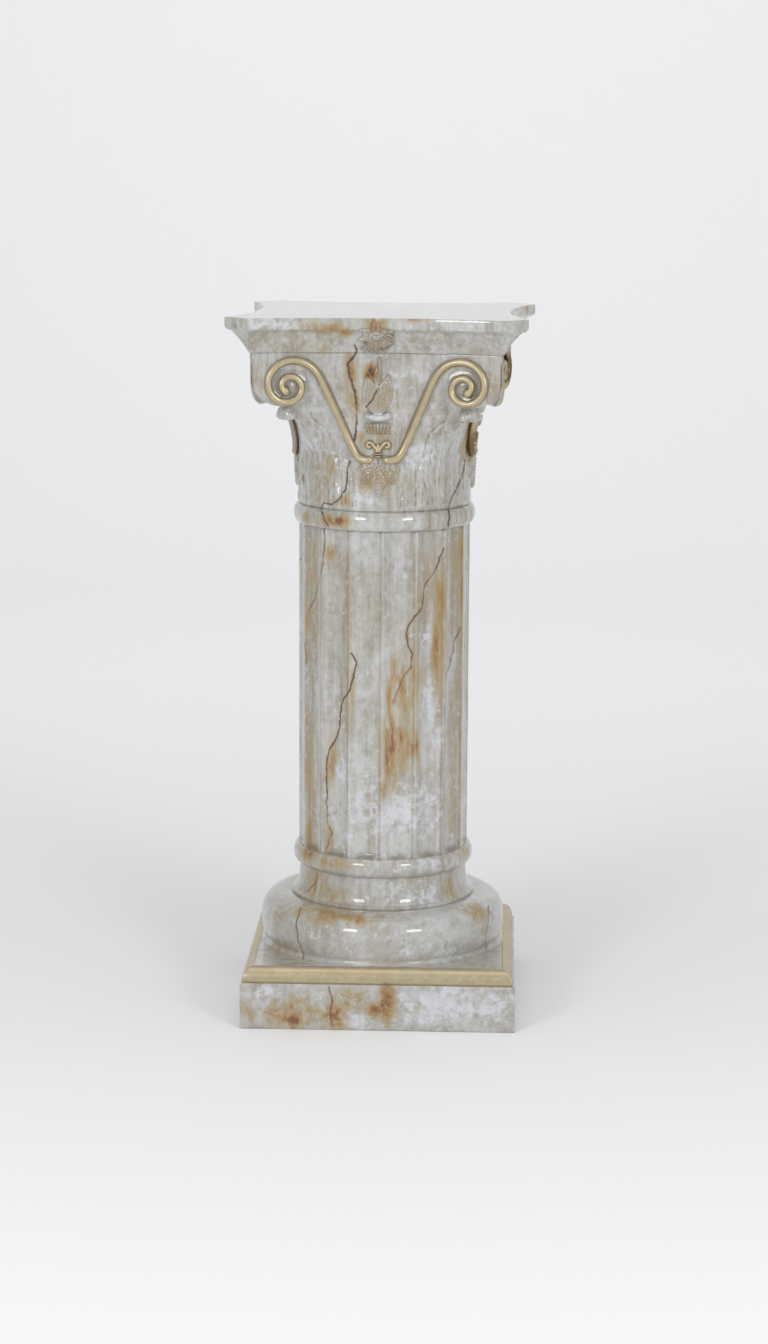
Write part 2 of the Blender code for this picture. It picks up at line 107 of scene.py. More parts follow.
# Capital
CAPITAL_TURN = radians(-2.08)
UPPER_RING_HEIGHT = 0.0220
UPPER_RING_SWELL = 0.0062
UPPER_RING_SETBACK = 0.0012
BELL_FOOT_RADIUS = 0.0993
BELL_FLARE_POWER = 3.2
FLARE_HEIGHT = 0.117
ABACUS_HALF = 0.1660
ABACUS_CORNER_CUT = 0.0275
ABACUS_SAG = 0.0240
ABACUS_HEIGHT = 0.0400
FASCIA_HEIGHT = 0.0088
OVOLO_DEPTH = 0.0061
OVOLO_HEIGHT = 0.0055
BAND_DEPTH = 0.0240
CORNER_LEAN = 0.86
LIP_SETBACK = 0.0006
LIP_GROOVE = 0.0010
SIDE_COLUMNS = 104
FACET_COLUMNS = 8

# Scrolls and horns
EYE_SETBACK = 0.0425
EYE_DROP = 0.0757
SPIRAL_START = 0.0311
SPIRAL_SHRINK = 0.1384
SPIRAL_OFFSET = 0.0023
SPIRAL_TURNS = 1.40
SPIRAL_LEAD = radians(75)
SPIRAL_CHANNEL = 0.0022
ROD_RADIUS = 0.0046
EYE_KNOB_RADIUS = 0.0054
HOOK_RADIUS = 0.0170
HOOK_OUT = 0.0130
HOOK_DROP = 0.1597
HOOK_TIP = radians(32)
HORN_ROUND = 0.0310
HORN_NOSE_DROP = 0.0670
HORN_INNER_SETBACK = 0.0180
HORN_BAND_RECESS = 0.0020
HORN_INTO_BAND = 0.00165
HORN_EDGE_ROUND = 0.0012

# Carving; drops are from the top of the abacus
LEAF_TOP_DROP = 0.1010
LEAF_HALF_WIDTH = 0.0400
LEAF_RELIEF = 0.0032
BUD_STAND = 0.00462
BUD_DROP = 0.1070
PALMETTE_DROP = 0.1690
TREFOIL_DROP = 0.1446
CUP_DROP = 0.1235
CURL_DROP = 0.1095
TULIP_DROP = 0.0790
ROSETTE_DROP = 0.0225
RELIEF_ROOT = 0.0030
CREVICE_STEP = 0.0009
CREVICE_DEPTH = 0.00020
# Painted shade laid evenly over the slab's top
SLAB_TOP_SHADE = 0.30
ROD_SHADE = 0.70

# Places that follow from the sizes
ABACUS_FOOT = COLUMN_TOP - ABACUS_HEIGHT
BELL_FOOT = CAPITAL_FOOT + UPPER_RING_HEIGHT
LIP_INSET = BAND_DEPTH + LIP_SETBACK
SIDE_CHORD = ABACUS_HALF - ABACUS_CORNER_CUT
SIDE_RADIUS = (SIDE_CHORD ** 2 + ABACUS_SAG ** 2) / (2 * ABACUS_SAG)
SIDE_CENTRE = ABACUS_HALF - ABACUS_SAG + SIDE_RADIUS
EYE_OUT = SIDE_CHORD - EYE_SETBACK
EYE_HEIGHT = COLUMN_TOP - EYE_DROP
HORN_INNER_OUT = EYE_OUT - HORN_INNER_SETBACK
HORN_TOP = ABACUS_FOOT + HORN_INTO_BAND


# Small tools


def smoothstep(share):
    share = np.clip(share, 0.0, 1.0)
    return share * share * (3 - 2 * share)


def linear(hex_colour):
    """An sRGB hex colour as linear RGBA."""
    values = [int(hex_colour[i:i + 2], 16) / 255 for i in (1, 3, 5)]
    return (*[v / 12.92 if v <= 0.04045 else ((v + 0.055) / 1.055) ** 2.4 for v in values], 1.0)


def camera_axes():
    """Right, up and forward of the photograph's camera."""
    forward = Vector((sin(CAMERA_PAN) * cos(CAMERA_PITCH), cos(CAMERA_PAN) * cos(CAMERA_PITCH),
                      -sin(CAMERA_PITCH)))
    right = Vector((cos(CAMERA_PAN), -sin(CAMERA_PAN), 0.0))
    up = right.cross(forward)
    level_right = cos(CAMERA_ROLL) * right + sin(CAMERA_ROLL) * up
    level_up = -sin(CAMERA_ROLL) * right + cos(CAMERA_ROLL) * up
    turn = Matrix.Rotation(CAMERA_TURN, 3, "Z")
    return turn @ level_right, turn @ level_up, turn @ forward


def add_camera():
    right, up, forward = camera_axes()
    data = bpy.data.cameras.new("photograph")
    data.sensor_width = SENSOR_MM
    data.lens = FOCAL_PIXELS * SENSOR_MM / PHOTO_HEIGHT
    camera = bpy.data.objects.new("photograph", data)
    turn = Matrix((right, up, -forward)).transposed().to_4x4()
    camera.matrix_world = Matrix.Translation(CAMERA_PLACE) @ turn
    bpy.context.scene.collection.objects.link(camera)
    bpy.context.scene.camera = camera


# Meshes


def finished(bm, name):
    mesh = bpy.data.meshes.new(name)
    bm.to_mesh(mesh)
    bm.free()
    return mesh


def close_up(bm):
    """Fill the open rims and turn every face outwards."""
    open_edges = [edge for edge in bm.edges if edge.is_boundary]
    bmesh.ops.holes_fill(bm, edges=open_edges, sides=0)
    bmesh.ops.recalc_face_normals(bm, faces=list(bm.faces))


def skin(name, points, layers=None):
    """One closed skin over a grid of points: rows from first to last, each running once round."""
    rows, columns, _ = points.shape
    bm = bmesh.new()
    bmesh.ops.create_grid(bm, x_segments=columns, y_segments=rows - 1, size=0.5)
    mesh = finished(bm, name)
    flat = np.empty(len(mesh.vertices) * 3, np.float32)
    mesh.vertices.foreach_get("co", flat)
    flat = flat.reshape(-1, 3)
    spread = (flat - flat.min(0)) / np.maximum(np.ptp(flat, axis=0), 1e-9)
    column = np.rint(spread[:, 0] * columns).astype(int) % columns
    row = np.rint(spread[:, 1] * (rows - 1)).astype(int)
    mesh.vertices.foreach_set("co", points[row, column].astype(np.float32).ravel())
    for layer, values in (layers or {}).items():
        data = mesh.attributes.new(layer, "FLOAT", "POINT")
        data.data.foreach_set("value", values[row, column].astype(np.float32).ravel())
    bm = bmesh.new()
    bm.from_mesh(mesh)
    bmesh.ops.remove_doubles(bm, verts=list(bm.verts), dist=1e-6)
    close_up(bm)
    bm.to_mesh(mesh)
    bm.free()
    return mesh


def joined(name, meshes, sides=4):
    """One mesh of the given ones, repeated on each side of the column."""
    bm = bmesh.new()
    for side in range(sides):
        turn = Matrix.Rotation(side * pi / 2, 4, "Z")
        for mesh in meshes:
            copy = mesh.copy()
            copy.transform(turn)
            bm.from_mesh(copy)
            bpy.data.meshes.remove(copy)
    return finished(bm, name)


def add_piece(name, mesh, turn, sharp=radians(40)):
    """Put a finished mesh in the scene as a piece of the column."""
    mesh.transform(Matrix.Rotation(turn, 4, "Z"))
    mesh.shade_smooth()
    mesh.set_sharp_from_angle(angle=sharp)
    piece = bpy.data.objects.new(name, mesh)
    bpy.context.scene.collection.objects.link(piece)
    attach(piece, "root")
    return piece


def hollows(lift, reach):
    """How far each point lies below the mean of its surroundings, on a grid that closes on itself."""
    total = np.zeros_like(lift)
    count = 0
    for down in range(-reach, reach + 1):
        rows = np.clip(np.arange(lift.shape[0]) + down, 0, lift.shape[0] - 1)
        for across in range(-reach, reach + 1):
            total += np.roll(lift[rows], across, axis=1)
            count += 1
    return total / count - lift


def ripple(points, size, depth):
    """A slight unevenness of the casting, up to depth, inwards only."""
    flat = points.reshape(-1, 3)
    values = [0.5 + 0.5 * noise.noise(Vector(point) / size) for point in flat]
    return np.clip(np.array(values), 0.0, 1.0).reshape(points.shape[:2]) * depth


# Base


def plinth_row(half, height, corner):
    """A square with rounded corners, points run once round from the front's left end."""
    corner = max(corner, 1e-5)
    points = []
    for side in range(4):
        turn = Matrix.Rotation(side * pi / 2, 3, "Z")
        for step in range(PLINTH_COLUMNS + 1):
            out = (half - corner) * (2 * step / PLINTH_COLUMNS - 1)
            points.append(turn @ Vector((out, -half, height)))
        for step in range(1, PLINTH_CORNER_COLUMNS):
            angle = pi / 2 * step / PLINTH_CORNER_COLUMNS
            out = half - corner + corner * sin(angle)
            points.append(turn @ Vector((out, -half + corner - corner * cos(angle), height)))
    return np.array(points)


def torus_profile():
    """(radius, height) up the torus: a cove at its foot, full belly, flat top for the shaft."""
    foot = PLINTH_HEIGHT + MOULDING_HEIGHT
    middle = foot + TORUS_HEIGHT / 2

    def belly(drop):
        kept = (1 - drop ** TORUS_FOOT_POWER) ** (1 / TORUS_FOOT_POWER)
        return TORUS_RADIUS - TORUS_FOOT_INSET * (1 - kept)

    start = 1 - TORUS_COVE / (TORUS_HEIGHT / 2)
    points = []
    for angle in np.linspace(0.0, pi / 2, 8)[:-1]:
        points.append((belly(start) + TORUS_COVE * (1 - sin(angle)), foot + TORUS_COVE * (1 - cos(angle))))
    for drop in np.linspace(start, 0.0, 18)[:-1]:
        points.append((belly(drop), middle - drop * TORUS_HEIGHT / 2))
    for angle in np.linspace(0.0, pi / 2, 34):
        out = max(cos(angle), 0.0) ** TORUS_SHOULDER_POWER
        height = middle + sin(angle) ** TORUS_SHOULDER_POWER * TORUS_HEIGHT / 2
        points.append((TORUS_RADIUS - TORUS_ROUND * (1 - out), height))
    return points


def base_mesh():
    rows, painted_shade = [], []

    def square(half, height, corner, dark=0.0):
        row = plinth_row(half, height, corner)
        rows.append(row)
        painted_shade.append(np.full(len(row), dark))

    # The last value of each row is painted shade: along the plinth's bottom edge, in the quirk under the
    # gilded moulding, at the moulding's foot and, lighter, in the crease inside it.
    for angle in np.linspace(0.0, pi / 2, 4):
        inset = EDGE_ROUND * (1 - sin(angle))
        square(PLINTH_HALF - inset, EDGE_ROUND * (1 - cos(angle)), EDGE_ROUND, 0.4)
    for height in np.linspace(EDGE_ROUND, PLINTH_HEIGHT - EDGE_ROUND, 22)[1:]:
        square(PLINTH_HALF, height, EDGE_ROUND)
    for angle in np.linspace(0.0, pi / 2, 4)[1:]:
        inset = EDGE_ROUND * (1 - cos(angle))
        square(PLINTH_HALF - inset, PLINTH_HEIGHT - EDGE_ROUND * (1 - sin(angle)), EDGE_ROUND)
    moulding_out = PLINTH_HALF - MOULDING_LEDGE
    square(moulding_out - QUIRK_SINK, PLINTH_HEIGHT, EDGE_ROUND, QUIRK_SHADE)
    square(moulding_out - QUIRK_SINK, PLINTH_HEIGHT + QUIRK_HEIGHT / 2, EDGE_ROUND, QUIRK_SHADE)
    for angle in np.linspace(0.0, pi / 2, 13):
        out = moulding_out - MOULDING_DEPTH * (1 - cos(angle))
        rise = PLINTH_HEIGHT + QUIRK_HEIGHT + (MOULDING_HEIGHT - QUIRK_HEIGHT) * sin(angle)
        square(out, rise, EDGE_ROUND, max(0.0, 0.5 - 3 * angle))
    top = PLINTH_HEIGHT + MOULDING_HEIGHT
    inner = moulding_out - MOULDING_DEPTH
    square(inner - TOP_EDGE, top - TOP_SINK, EDGE_ROUND, 0.15)
    square(inner - 2 * TOP_EDGE, top - TOP_SINK, EDGE_ROUND, 0.15)
    outer_row = rows[-1]
    angles = np.arctan2(outer_row[:, 1], outer_row[:, 0])
    profile = torus_profile()

    def circle(radius, height, dark):
        row = [radius * np.cos(angles), radius * np.sin(angles), np.full(len(angles), height)]
        rows.append(np.stack(row, 1))
        painted_shade.append(np.full(len(angles), dark))

    circle(profile[0][0], top - TOP_SINK, 0.0)
    round_row = rows.pop()
    painted_shade.pop()
    for share in np.linspace(0.0, 1.0, 15)[1:]:
        rows.append(outer_row + (round_row - outer_row) * share)
        painted_shade.append(np.zeros(len(angles)))
    # Painted shade where the torus's top meets the shaft's foot.
    for radius, height in profile:
        near_shaft = smoothstep((FOOT_RADIUS + 0.006 - radius) / 0.006)
        circle(radius, height, 0.15 * float(near_shaft))
    circle(FOOT_RADIUS - 0.012, BASE_TOP, 0.2)
    points = np.array(rows)
    return skin("base_casting", points, {"painted_shade": np.array(painted_shade)})


def gild_moulding(mesh):
    """The quarter-round moulding takes the second material."""
    inner = PLINTH_HALF - MOULDING_LEDGE - MOULDING_DEPTH - TOP_EDGE / 2
    for face in mesh.polygons:
        centre = face.center
        out = max(abs(centre.x), abs(centre.y))
        risen = PLINTH_HEIGHT + 0.0002 < centre.z
        if risen and out > inner and centre.z < PLINTH_HEIGHT + MOULDING_HEIGHT + 0.001:
            face.material_index = 1


# Shaft


def shaft_mesh():
    count = FLUTES * FLUTE_COLUMNS
    angles = 2 * pi * np.arange(count) / count - pi / 2
    across = 2 * (np.arange(count) % FLUTE_COLUMNS) / FLUTE_COLUMNS - 1
    # The third value of each profile point is painted shade: in the crease under the lower ring, and along
    # the ring's upper and lower edges.
    profile = [(FOOT_RADIUS - 0.0002, SHAFT_FOOT, 0.0), (FOOT_RADIUS, SHAFT_FOOT + 0.0002, 0.0)]
    for height in np.linspace(0.0012, FOOT_EDGE - 0.0006, 3):
        profile.append((FOOT_RADIUS, SHAFT_FOOT + height, 0.0))
    flare = FOOT_RADIUS - NECK_RADIUS
    flare_height = NECK_HEIGHT - FOOT_EDGE
    for angle in np.linspace(0.0, pi / 2, 26):
        radius = FOOT_RADIUS - 0.0006 - (flare - 0.0006) * sin(angle) ** NECK_FLARE_POWER
        height = SHAFT_FOOT + FOOT_EDGE + flare_height * (1 - cos(angle))
        profile.append((radius, height, 0.6 * float(smoothstep((angle - 1.42) / 0.15))))
    ring_foot = SHAFT_FOOT + NECK_HEIGHT
    for angle in np.linspace(-pi / 2, pi / 2, 22)[1:-1]:
        radius = NECK_RADIUS + LOWER_RING_SWELL * cos(angle) ** 0.85
        profile.append((radius, ring_foot + LOWER_RING_HEIGHT * (1 + sin(angle)) / 2,
                        0.5 * float(smoothstep((abs(angle) - 1.30) / 0.25))))
    drum_foot = ring_foot + LOWER_RING_HEIGHT
    rows = [np.full(count, p[0]) for p in profile]
    heights = [p[1] for p in profile]
    painted_shade = [np.full(count, p[2]) for p in profile]
    painted_highlight = [np.zeros(count) for _ in profile]
    shape = np.maximum(0.0, 1 - (np.abs(across) / (1 - ARRIS_WIDTH)) ** 2.1)
    arris = smoothstep((np.abs(across) - 1 + ARRIS_WIDTH) / ARRIS_WIDTH)
    # Painted shade: a dark line beside each arris, stronger on one side, and darker at the flutes' ends
    # above the lower ring and under the capital's ring. The arrises themselves get a painted highlight.
    arris_shade_lines = 0.52 * np.exp(-((across - 0.84) / 0.08) ** 2)
    arris_shade_lines = arris_shade_lines + 0.30 * np.exp(-((across + 0.90) / 0.05) ** 2)
    low = drum_foot + FLUTE_END * 2.0 * np.linspace(0.0, 1.0, 30) ** 1.2
    long = np.linspace(low[-1], SHAFT_TOP, 112)[1:]
    for height in list(low) + list(long):
        rise = min(1.0, max(0.0, (height - drum_foot - 0.0012) / (1.2 * FLUTE_END)))
        hollow = np.maximum(0.0, shape - (1 - rise) ** 8)
        rows.append(DRUM_RADIUS - FLUTE_DEPTH * hollow ** 0.9)
        heights.append(height)
        end_shade = 0.75 * exp(-max(0.0, height - drum_foot - 0.002) / 0.007)
        under_ring_shade = 0.6 * exp(-(SHAFT_TOP - height) / 0.0020)
        painted_shade.append(np.clip(end_shade * np.sqrt(shape) + under_ring_shade + arris_shade_lines, 0.0, 1.0))
        painted_highlight.append(arris * (1 - end_shade))
    radii = np.array(rows)
    heights = np.array(heights)[:, None]
    points = np.stack([radii * np.cos(angles), radii * np.sin(angles), heights + 0 * radii], 2)
    sunk = ripple(points, 0.035, 0.0006)
    points[..., 0] -= sunk * np.cos(angles)
    points[..., 1] -= sunk * np.sin(angles)
    return skin("shaft_casting", points, {"painted_shade": np.array(painted_shade), "painted_highlight": np.array(painted_highlight)})


# Capital: plan and skin


def side_line(out, inset):
    """Distance of a concave side from the axis, at a distance out from its middle."""
    return SIDE_CENTRE - np.sqrt((SIDE_RADIUS + inset) ** 2 - np.square(out))


def corner_sum(inset):
    """x + y along the face that cuts a corner off."""
    return 2 * ABACUS_HALF - ABACUS_CORNER_CUT - inset * CORNER_LEAN * sqrt(2)


def corner_out(inset):
    """Where a side meets the cut corner, out from the side's middle."""
    gap = corner_sum(inset) - SIDE_CENTRE
    return (gap + sqrt(2 * (SIDE_RADIUS + inset) ** 2 - gap ** 2)) / 2


def plan_reach(angle, inset):
    """Distance from the axis to the plan outline; angle is from the nearest face's middle."""
    reach = SIDE_CENTRE * np.cos(angle)
    reach = reach - np.sqrt((SIDE_RADIUS + inset) ** 2 - (SIDE_CENTRE * np.sin(angle)) ** 2)
    return np.minimum(reach, corner_sum(inset) / (np.cos(angle) + np.abs(np.sin(angle))))


def from_face(angle):
    """Angle from the middle of the nearest face, -45 to 45 degrees."""
    return (angle + pi / 4) % (pi / 2) - pi / 4


def bell_reach(angle, height):
    """The bell's skin: round at its foot, and the abacus's outline at its lip."""
    rise = np.clip((height - BELL_FOOT) / (ABACUS_FOOT - BELL_FOOT), 0.0, 1.0)
    round_reach = BELL_FOOT_RADIUS
    round_reach = round_reach + (side_line(0.0, LIP_INSET) - BELL_FOOT_RADIUS) * rise ** BELL_FLARE_POWER
    square_reach = plan_reach(from_face(angle), LIP_INSET)
    share = smoothstep(1 - (ABACUS_FOOT - height) / FLARE_HEIGHT)
    return round_reach + (square_reach - round_reach) * share


def skin_depth(out, height, middle=0.0):
    """How far the bell's skin stands from the axis, out to one side of a face's or corner's middle."""
    depth = BELL_FOOT_RADIUS + 0 * out
    for _ in range(8):
        reach = bell_reach(middle + np.arctan2(out, depth), height)
        depth = np.sqrt(np.maximum(reach ** 2 - out ** 2, 0.0))
    return depth


def face_depth(out, height):
    return skin_depth(out, np.minimum(height, ABACUS_FOOT))


def abacus_depth(out, height):
    """Distance from the axis plane to the abacus's slanting band and fascia."""
    fascia_foot = FASCIA_HEIGHT + OVOLO_HEIGHT
    down = COLUMN_TOP - height
    share = np.clip((down - fascia_foot) / (ABACUS_HEIGHT - fascia_foot), 0.0, 1.0)
    inset = np.where(down < fascia_foot, 0.0, OVOLO_DEPTH + (BAND_DEPTH - OVOLO_DEPTH) * share)
    return side_line(out, inset)


def plan_row(inset, height):
    """The abacus's outline at one level, points run once round from the front's left end."""
    end = corner_out(inset)
    out = end * np.linspace(-1.0, 1.0, SIDE_COLUMNS + 1)
    side = np.stack([out, -side_line(out, inset), np.full(len(out), height)], 1)
    corner = np.array((side_line(end, inset), -end, height))
    share = np.linspace(0.0, 1.0, FACET_COLUMNS + 1)[1:-1, None]
    facet = side[-1] + (corner - side[-1]) * share
    quarter = np.concatenate([side, facet])
    rows = []
    for number in range(4):
        turn = np.array(Matrix.Rotation(number * pi / 2, 3, "Z"))
        rows.append(quarter @ turn.T)
    return np.concatenate(rows)


# Capital: scrolls


def spiral_radius(turn):
    return SPIRAL_START * np.exp(-SPIRAL_SHRINK * turn) - SPIRAL_OFFSET


def spiral_point(turn):
    """(out, height) on the scroll, turn in radians past its top, inwards."""
    radius = float(spiral_radius(turn))
    return EYE_OUT + radius * sin(turn), EYE_HEIGHT + radius * cos(turn)


def scroll_path():
    """(out, height) points from the hook at the face's middle to the scroll's eye."""
    start = spiral_point(-SPIRAL_LEAD)
    centre = (HOOK_OUT, COLUMN_TOP - HOOK_DROP + HOOK_RADIUS)
    run = (start[0] - centre[0], start[1] - centre[1])
    slope = atan2(run[1], run[0]) - atan2(HOOK_RADIUS, sqrt(hypot(*run) ** 2 - HOOK_RADIUS ** 2))
    path = []
    for angle in np.linspace(-pi / 2 - HOOK_TIP, -pi / 2 + slope, 16):
        path.append((centre[0] + HOOK_RADIUS * cos(angle), centre[1] + HOOK_RADIUS * sin(angle)))
    last = path[-1]
    for share in np.linspace(0.0, 1.0, 20)[1:-1]:
        path.append((last[0] + (start[0] - last[0]) * share, last[1] + (start[1] - last[1]) * share))
    for turn in np.linspace(-SPIRAL_LEAD, SPIRAL_TURNS * 2 * pi, 120):
        path.append(spiral_point(turn))
    path = np.array(path)
    for _ in range(14):
        path[1:-1] = path[1:-1] * 0.5 + (path[:-2] + path[2:]) * 0.25
    return path


def rod_depth(out, height):
    """The rod lies on the bell's skin and passes over to the horn's front face."""
    share = smoothstep((out - 0.6 * EYE_OUT) / (0.3 * EYE_OUT))
    front = side_line(out, LIP_INSET)
    return skin_depth(out, height) * (1 - share) + front * share


def rod_mesh(hand):
    """A round gilded rod along the scroll, left (-1) or right (1), with painted shade along its foot."""
    path = scroll_path()
    depth = rod_depth(path[:, 0], path[:, 1])
    line = np.stack([hand * path[:, 0], -depth, path[:, 1]], 1)
    along = np.gradient(line, axis=0)
    along /= np.linalg.norm(along, axis=1)[:, None]
    out = np.array((0.0, -1.0, 0.0))
    side = np.cross(along, out)
    side /= np.linalg.norm(side, axis=1)[:, None]
    lift = np.cross(side, along)
    lift *= np.sign(lift @ out)[:, None]
    travel = np.linspace(0.0, 1.0, len(path))
    thick = ROD_RADIUS * (1.0 - 0.14 * travel)
    thick = thick * np.sqrt(np.clip(1 - np.clip(1 - travel / 0.035, 0, 1) ** 2 * 0.96, 0.0, 1.0))
    thick[-1] = thick[0] = 0.0
    sections = 16
    angle = 2 * pi * np.arange(sections) / sections
    rise = 0.42 * ROD_RADIUS * np.minimum(1.0, travel / 0.03 + 0.4)
    points = line[:, None] + lift[:, None] * (rise[:, None] + thick[:, None] * np.cos(angle))[..., None]
    points = points + side[:, None] * (thick[:, None] * np.sin(angle))[..., None]
    # Painted shade on the side of the rod that lies against the stone.
    foot = smoothstep((-np.cos(angle) + 0.45) / 0.9)
    painted_shade = foot[None, :] + 0 * thick[:, None]
    return skin("rod", points, {"painted_shade": painted_shade})


def eye_knob(hand):
    """The knob that a rod winds up to."""
    out, height = spiral_point(SPIRAL_TURNS * 2 * pi)
    depth = float(rod_depth(np.array([out]), np.array([height]))[0])
    bm = bmesh.new()
    painted_shade = bm.verts.layers.float.new("painted_shade")
    bmesh.ops.create_uvsphere(bm, u_segments=28, v_segments=18, radius=EYE_KNOB_RADIUS)
    # Painted shade on the side of the knob that faces the stone.
    for vert in bm.verts:
        vert[painted_shade] = float(smoothstep(0.5 + vert.co.y / EYE_KNOB_RADIUS))
    bmesh.ops.translate(bm, verts=list(bm.verts), vec=Vector((hand * out, -depth - 0.0012, height)))
    return finished(bm, "knob")


def near_rods(points):
    """Distance of each point to the nearest scroll's rod, in the capital's own frame."""
    path = scroll_path()
    depth = rod_depth(path[:, 0], path[:, 1])
    tree = KDTree(8 * len(path))
    number = 0
    for side in range(4):
        turn = Matrix.Rotation(side * pi / 2, 3, "Z")
        for hand in (-1, 1):
            for (out, height), far in zip(path, depth):
                tree.insert(turn @ Vector((hand * out, -far, height)), number)
                number += 1
    tree.balance()
    flat = points.reshape(-1, 3)
    return np.array([tree.find(point)[2] for point in flat]).reshape(points.shape[:-1])


# Capital: body


def corner_leaf(arc, height):
    """Lift of the broad leaf on each corner; arc is the distance round from the corner's middle."""
    share = (height - BELL_FOOT) / (COLUMN_TOP - LEAF_TOP_DROP - BELL_FOOT)
    inside = np.clip(share, 0.0, 1.0)
    lobes = 0.0050 * np.abs(np.sin(pi * (inside * 3.3 + 0.12))) - 0.0022
    half = LEAF_HALF_WIDTH * (0.86 - 0.50 * inside ** 1.7) + lobes
    far = np.abs(arc)
    edge = smoothstep((half - far) / 0.0030)
    ratio = np.clip(far / half, 0.0, 1.0)
    body = LEAF_RELIEF * edge * (0.55 + 0.45 * np.cos(pi / 2 * ratio)) * (0.55 + 0.45 * inside)
    rim = 0.0006 * np.exp(-((half - far - 0.0030) / 0.0018) ** 2)
    rib = 0.0008 * np.exp(-(far / 0.0022) ** 2) * edge
    bend = far * (1 - 0.35 * inside) + 0.0018 * np.sin(height / 0.009 + arc / 0.013)
    veins = 0.00030 * np.cos(2 * pi * bend / 0.0062) * edge * smoothstep(ratio * 3)
    veins = veins + 0.00020 * np.cos(2 * pi * (height - 1.6 * far + 0.3 * arc) / 0.0130) * edge
    ends = smoothstep(share / 0.06) * smoothstep((1.04 - share) / 0.08)
    return (body + rim + rib + veins) * ends


def inner_leaf(arc, height):
    """Lift of the smaller leaf tips that show between the corner leaves, low on the bell."""
    share = np.clip((height - BELL_FOOT) / 0.060, 0.0, 1.0)
    half = 0.0125 * (1 - share ** 2.5) + 0.0018 * np.abs(np.sin(pi * share * 3))
    far = np.abs(np.abs(arc) - 0.0400)
    edge = smoothstep((half - far) / 0.0020)
    grooves = 0.0005 * np.cos(2 * pi * far / 0.0042)
    return edge * (0.0016 + grooves) * smoothstep(share / 0.10) * smoothstep((1 - share) / 0.08)


def striations(arc, height):
    """Fine upright combing over the bell's sides."""
    wander = 0.0015 * np.sin(height / 0.011) + 0.0011 * np.sin(height / 0.0043 + arc / 0.02)
    lines = np.cos(2 * pi * (arc + wander) / 0.0046) + 0.6 * np.cos(2 * pi * (arc - wander) / 0.0077)
    return 0.00022 * lines


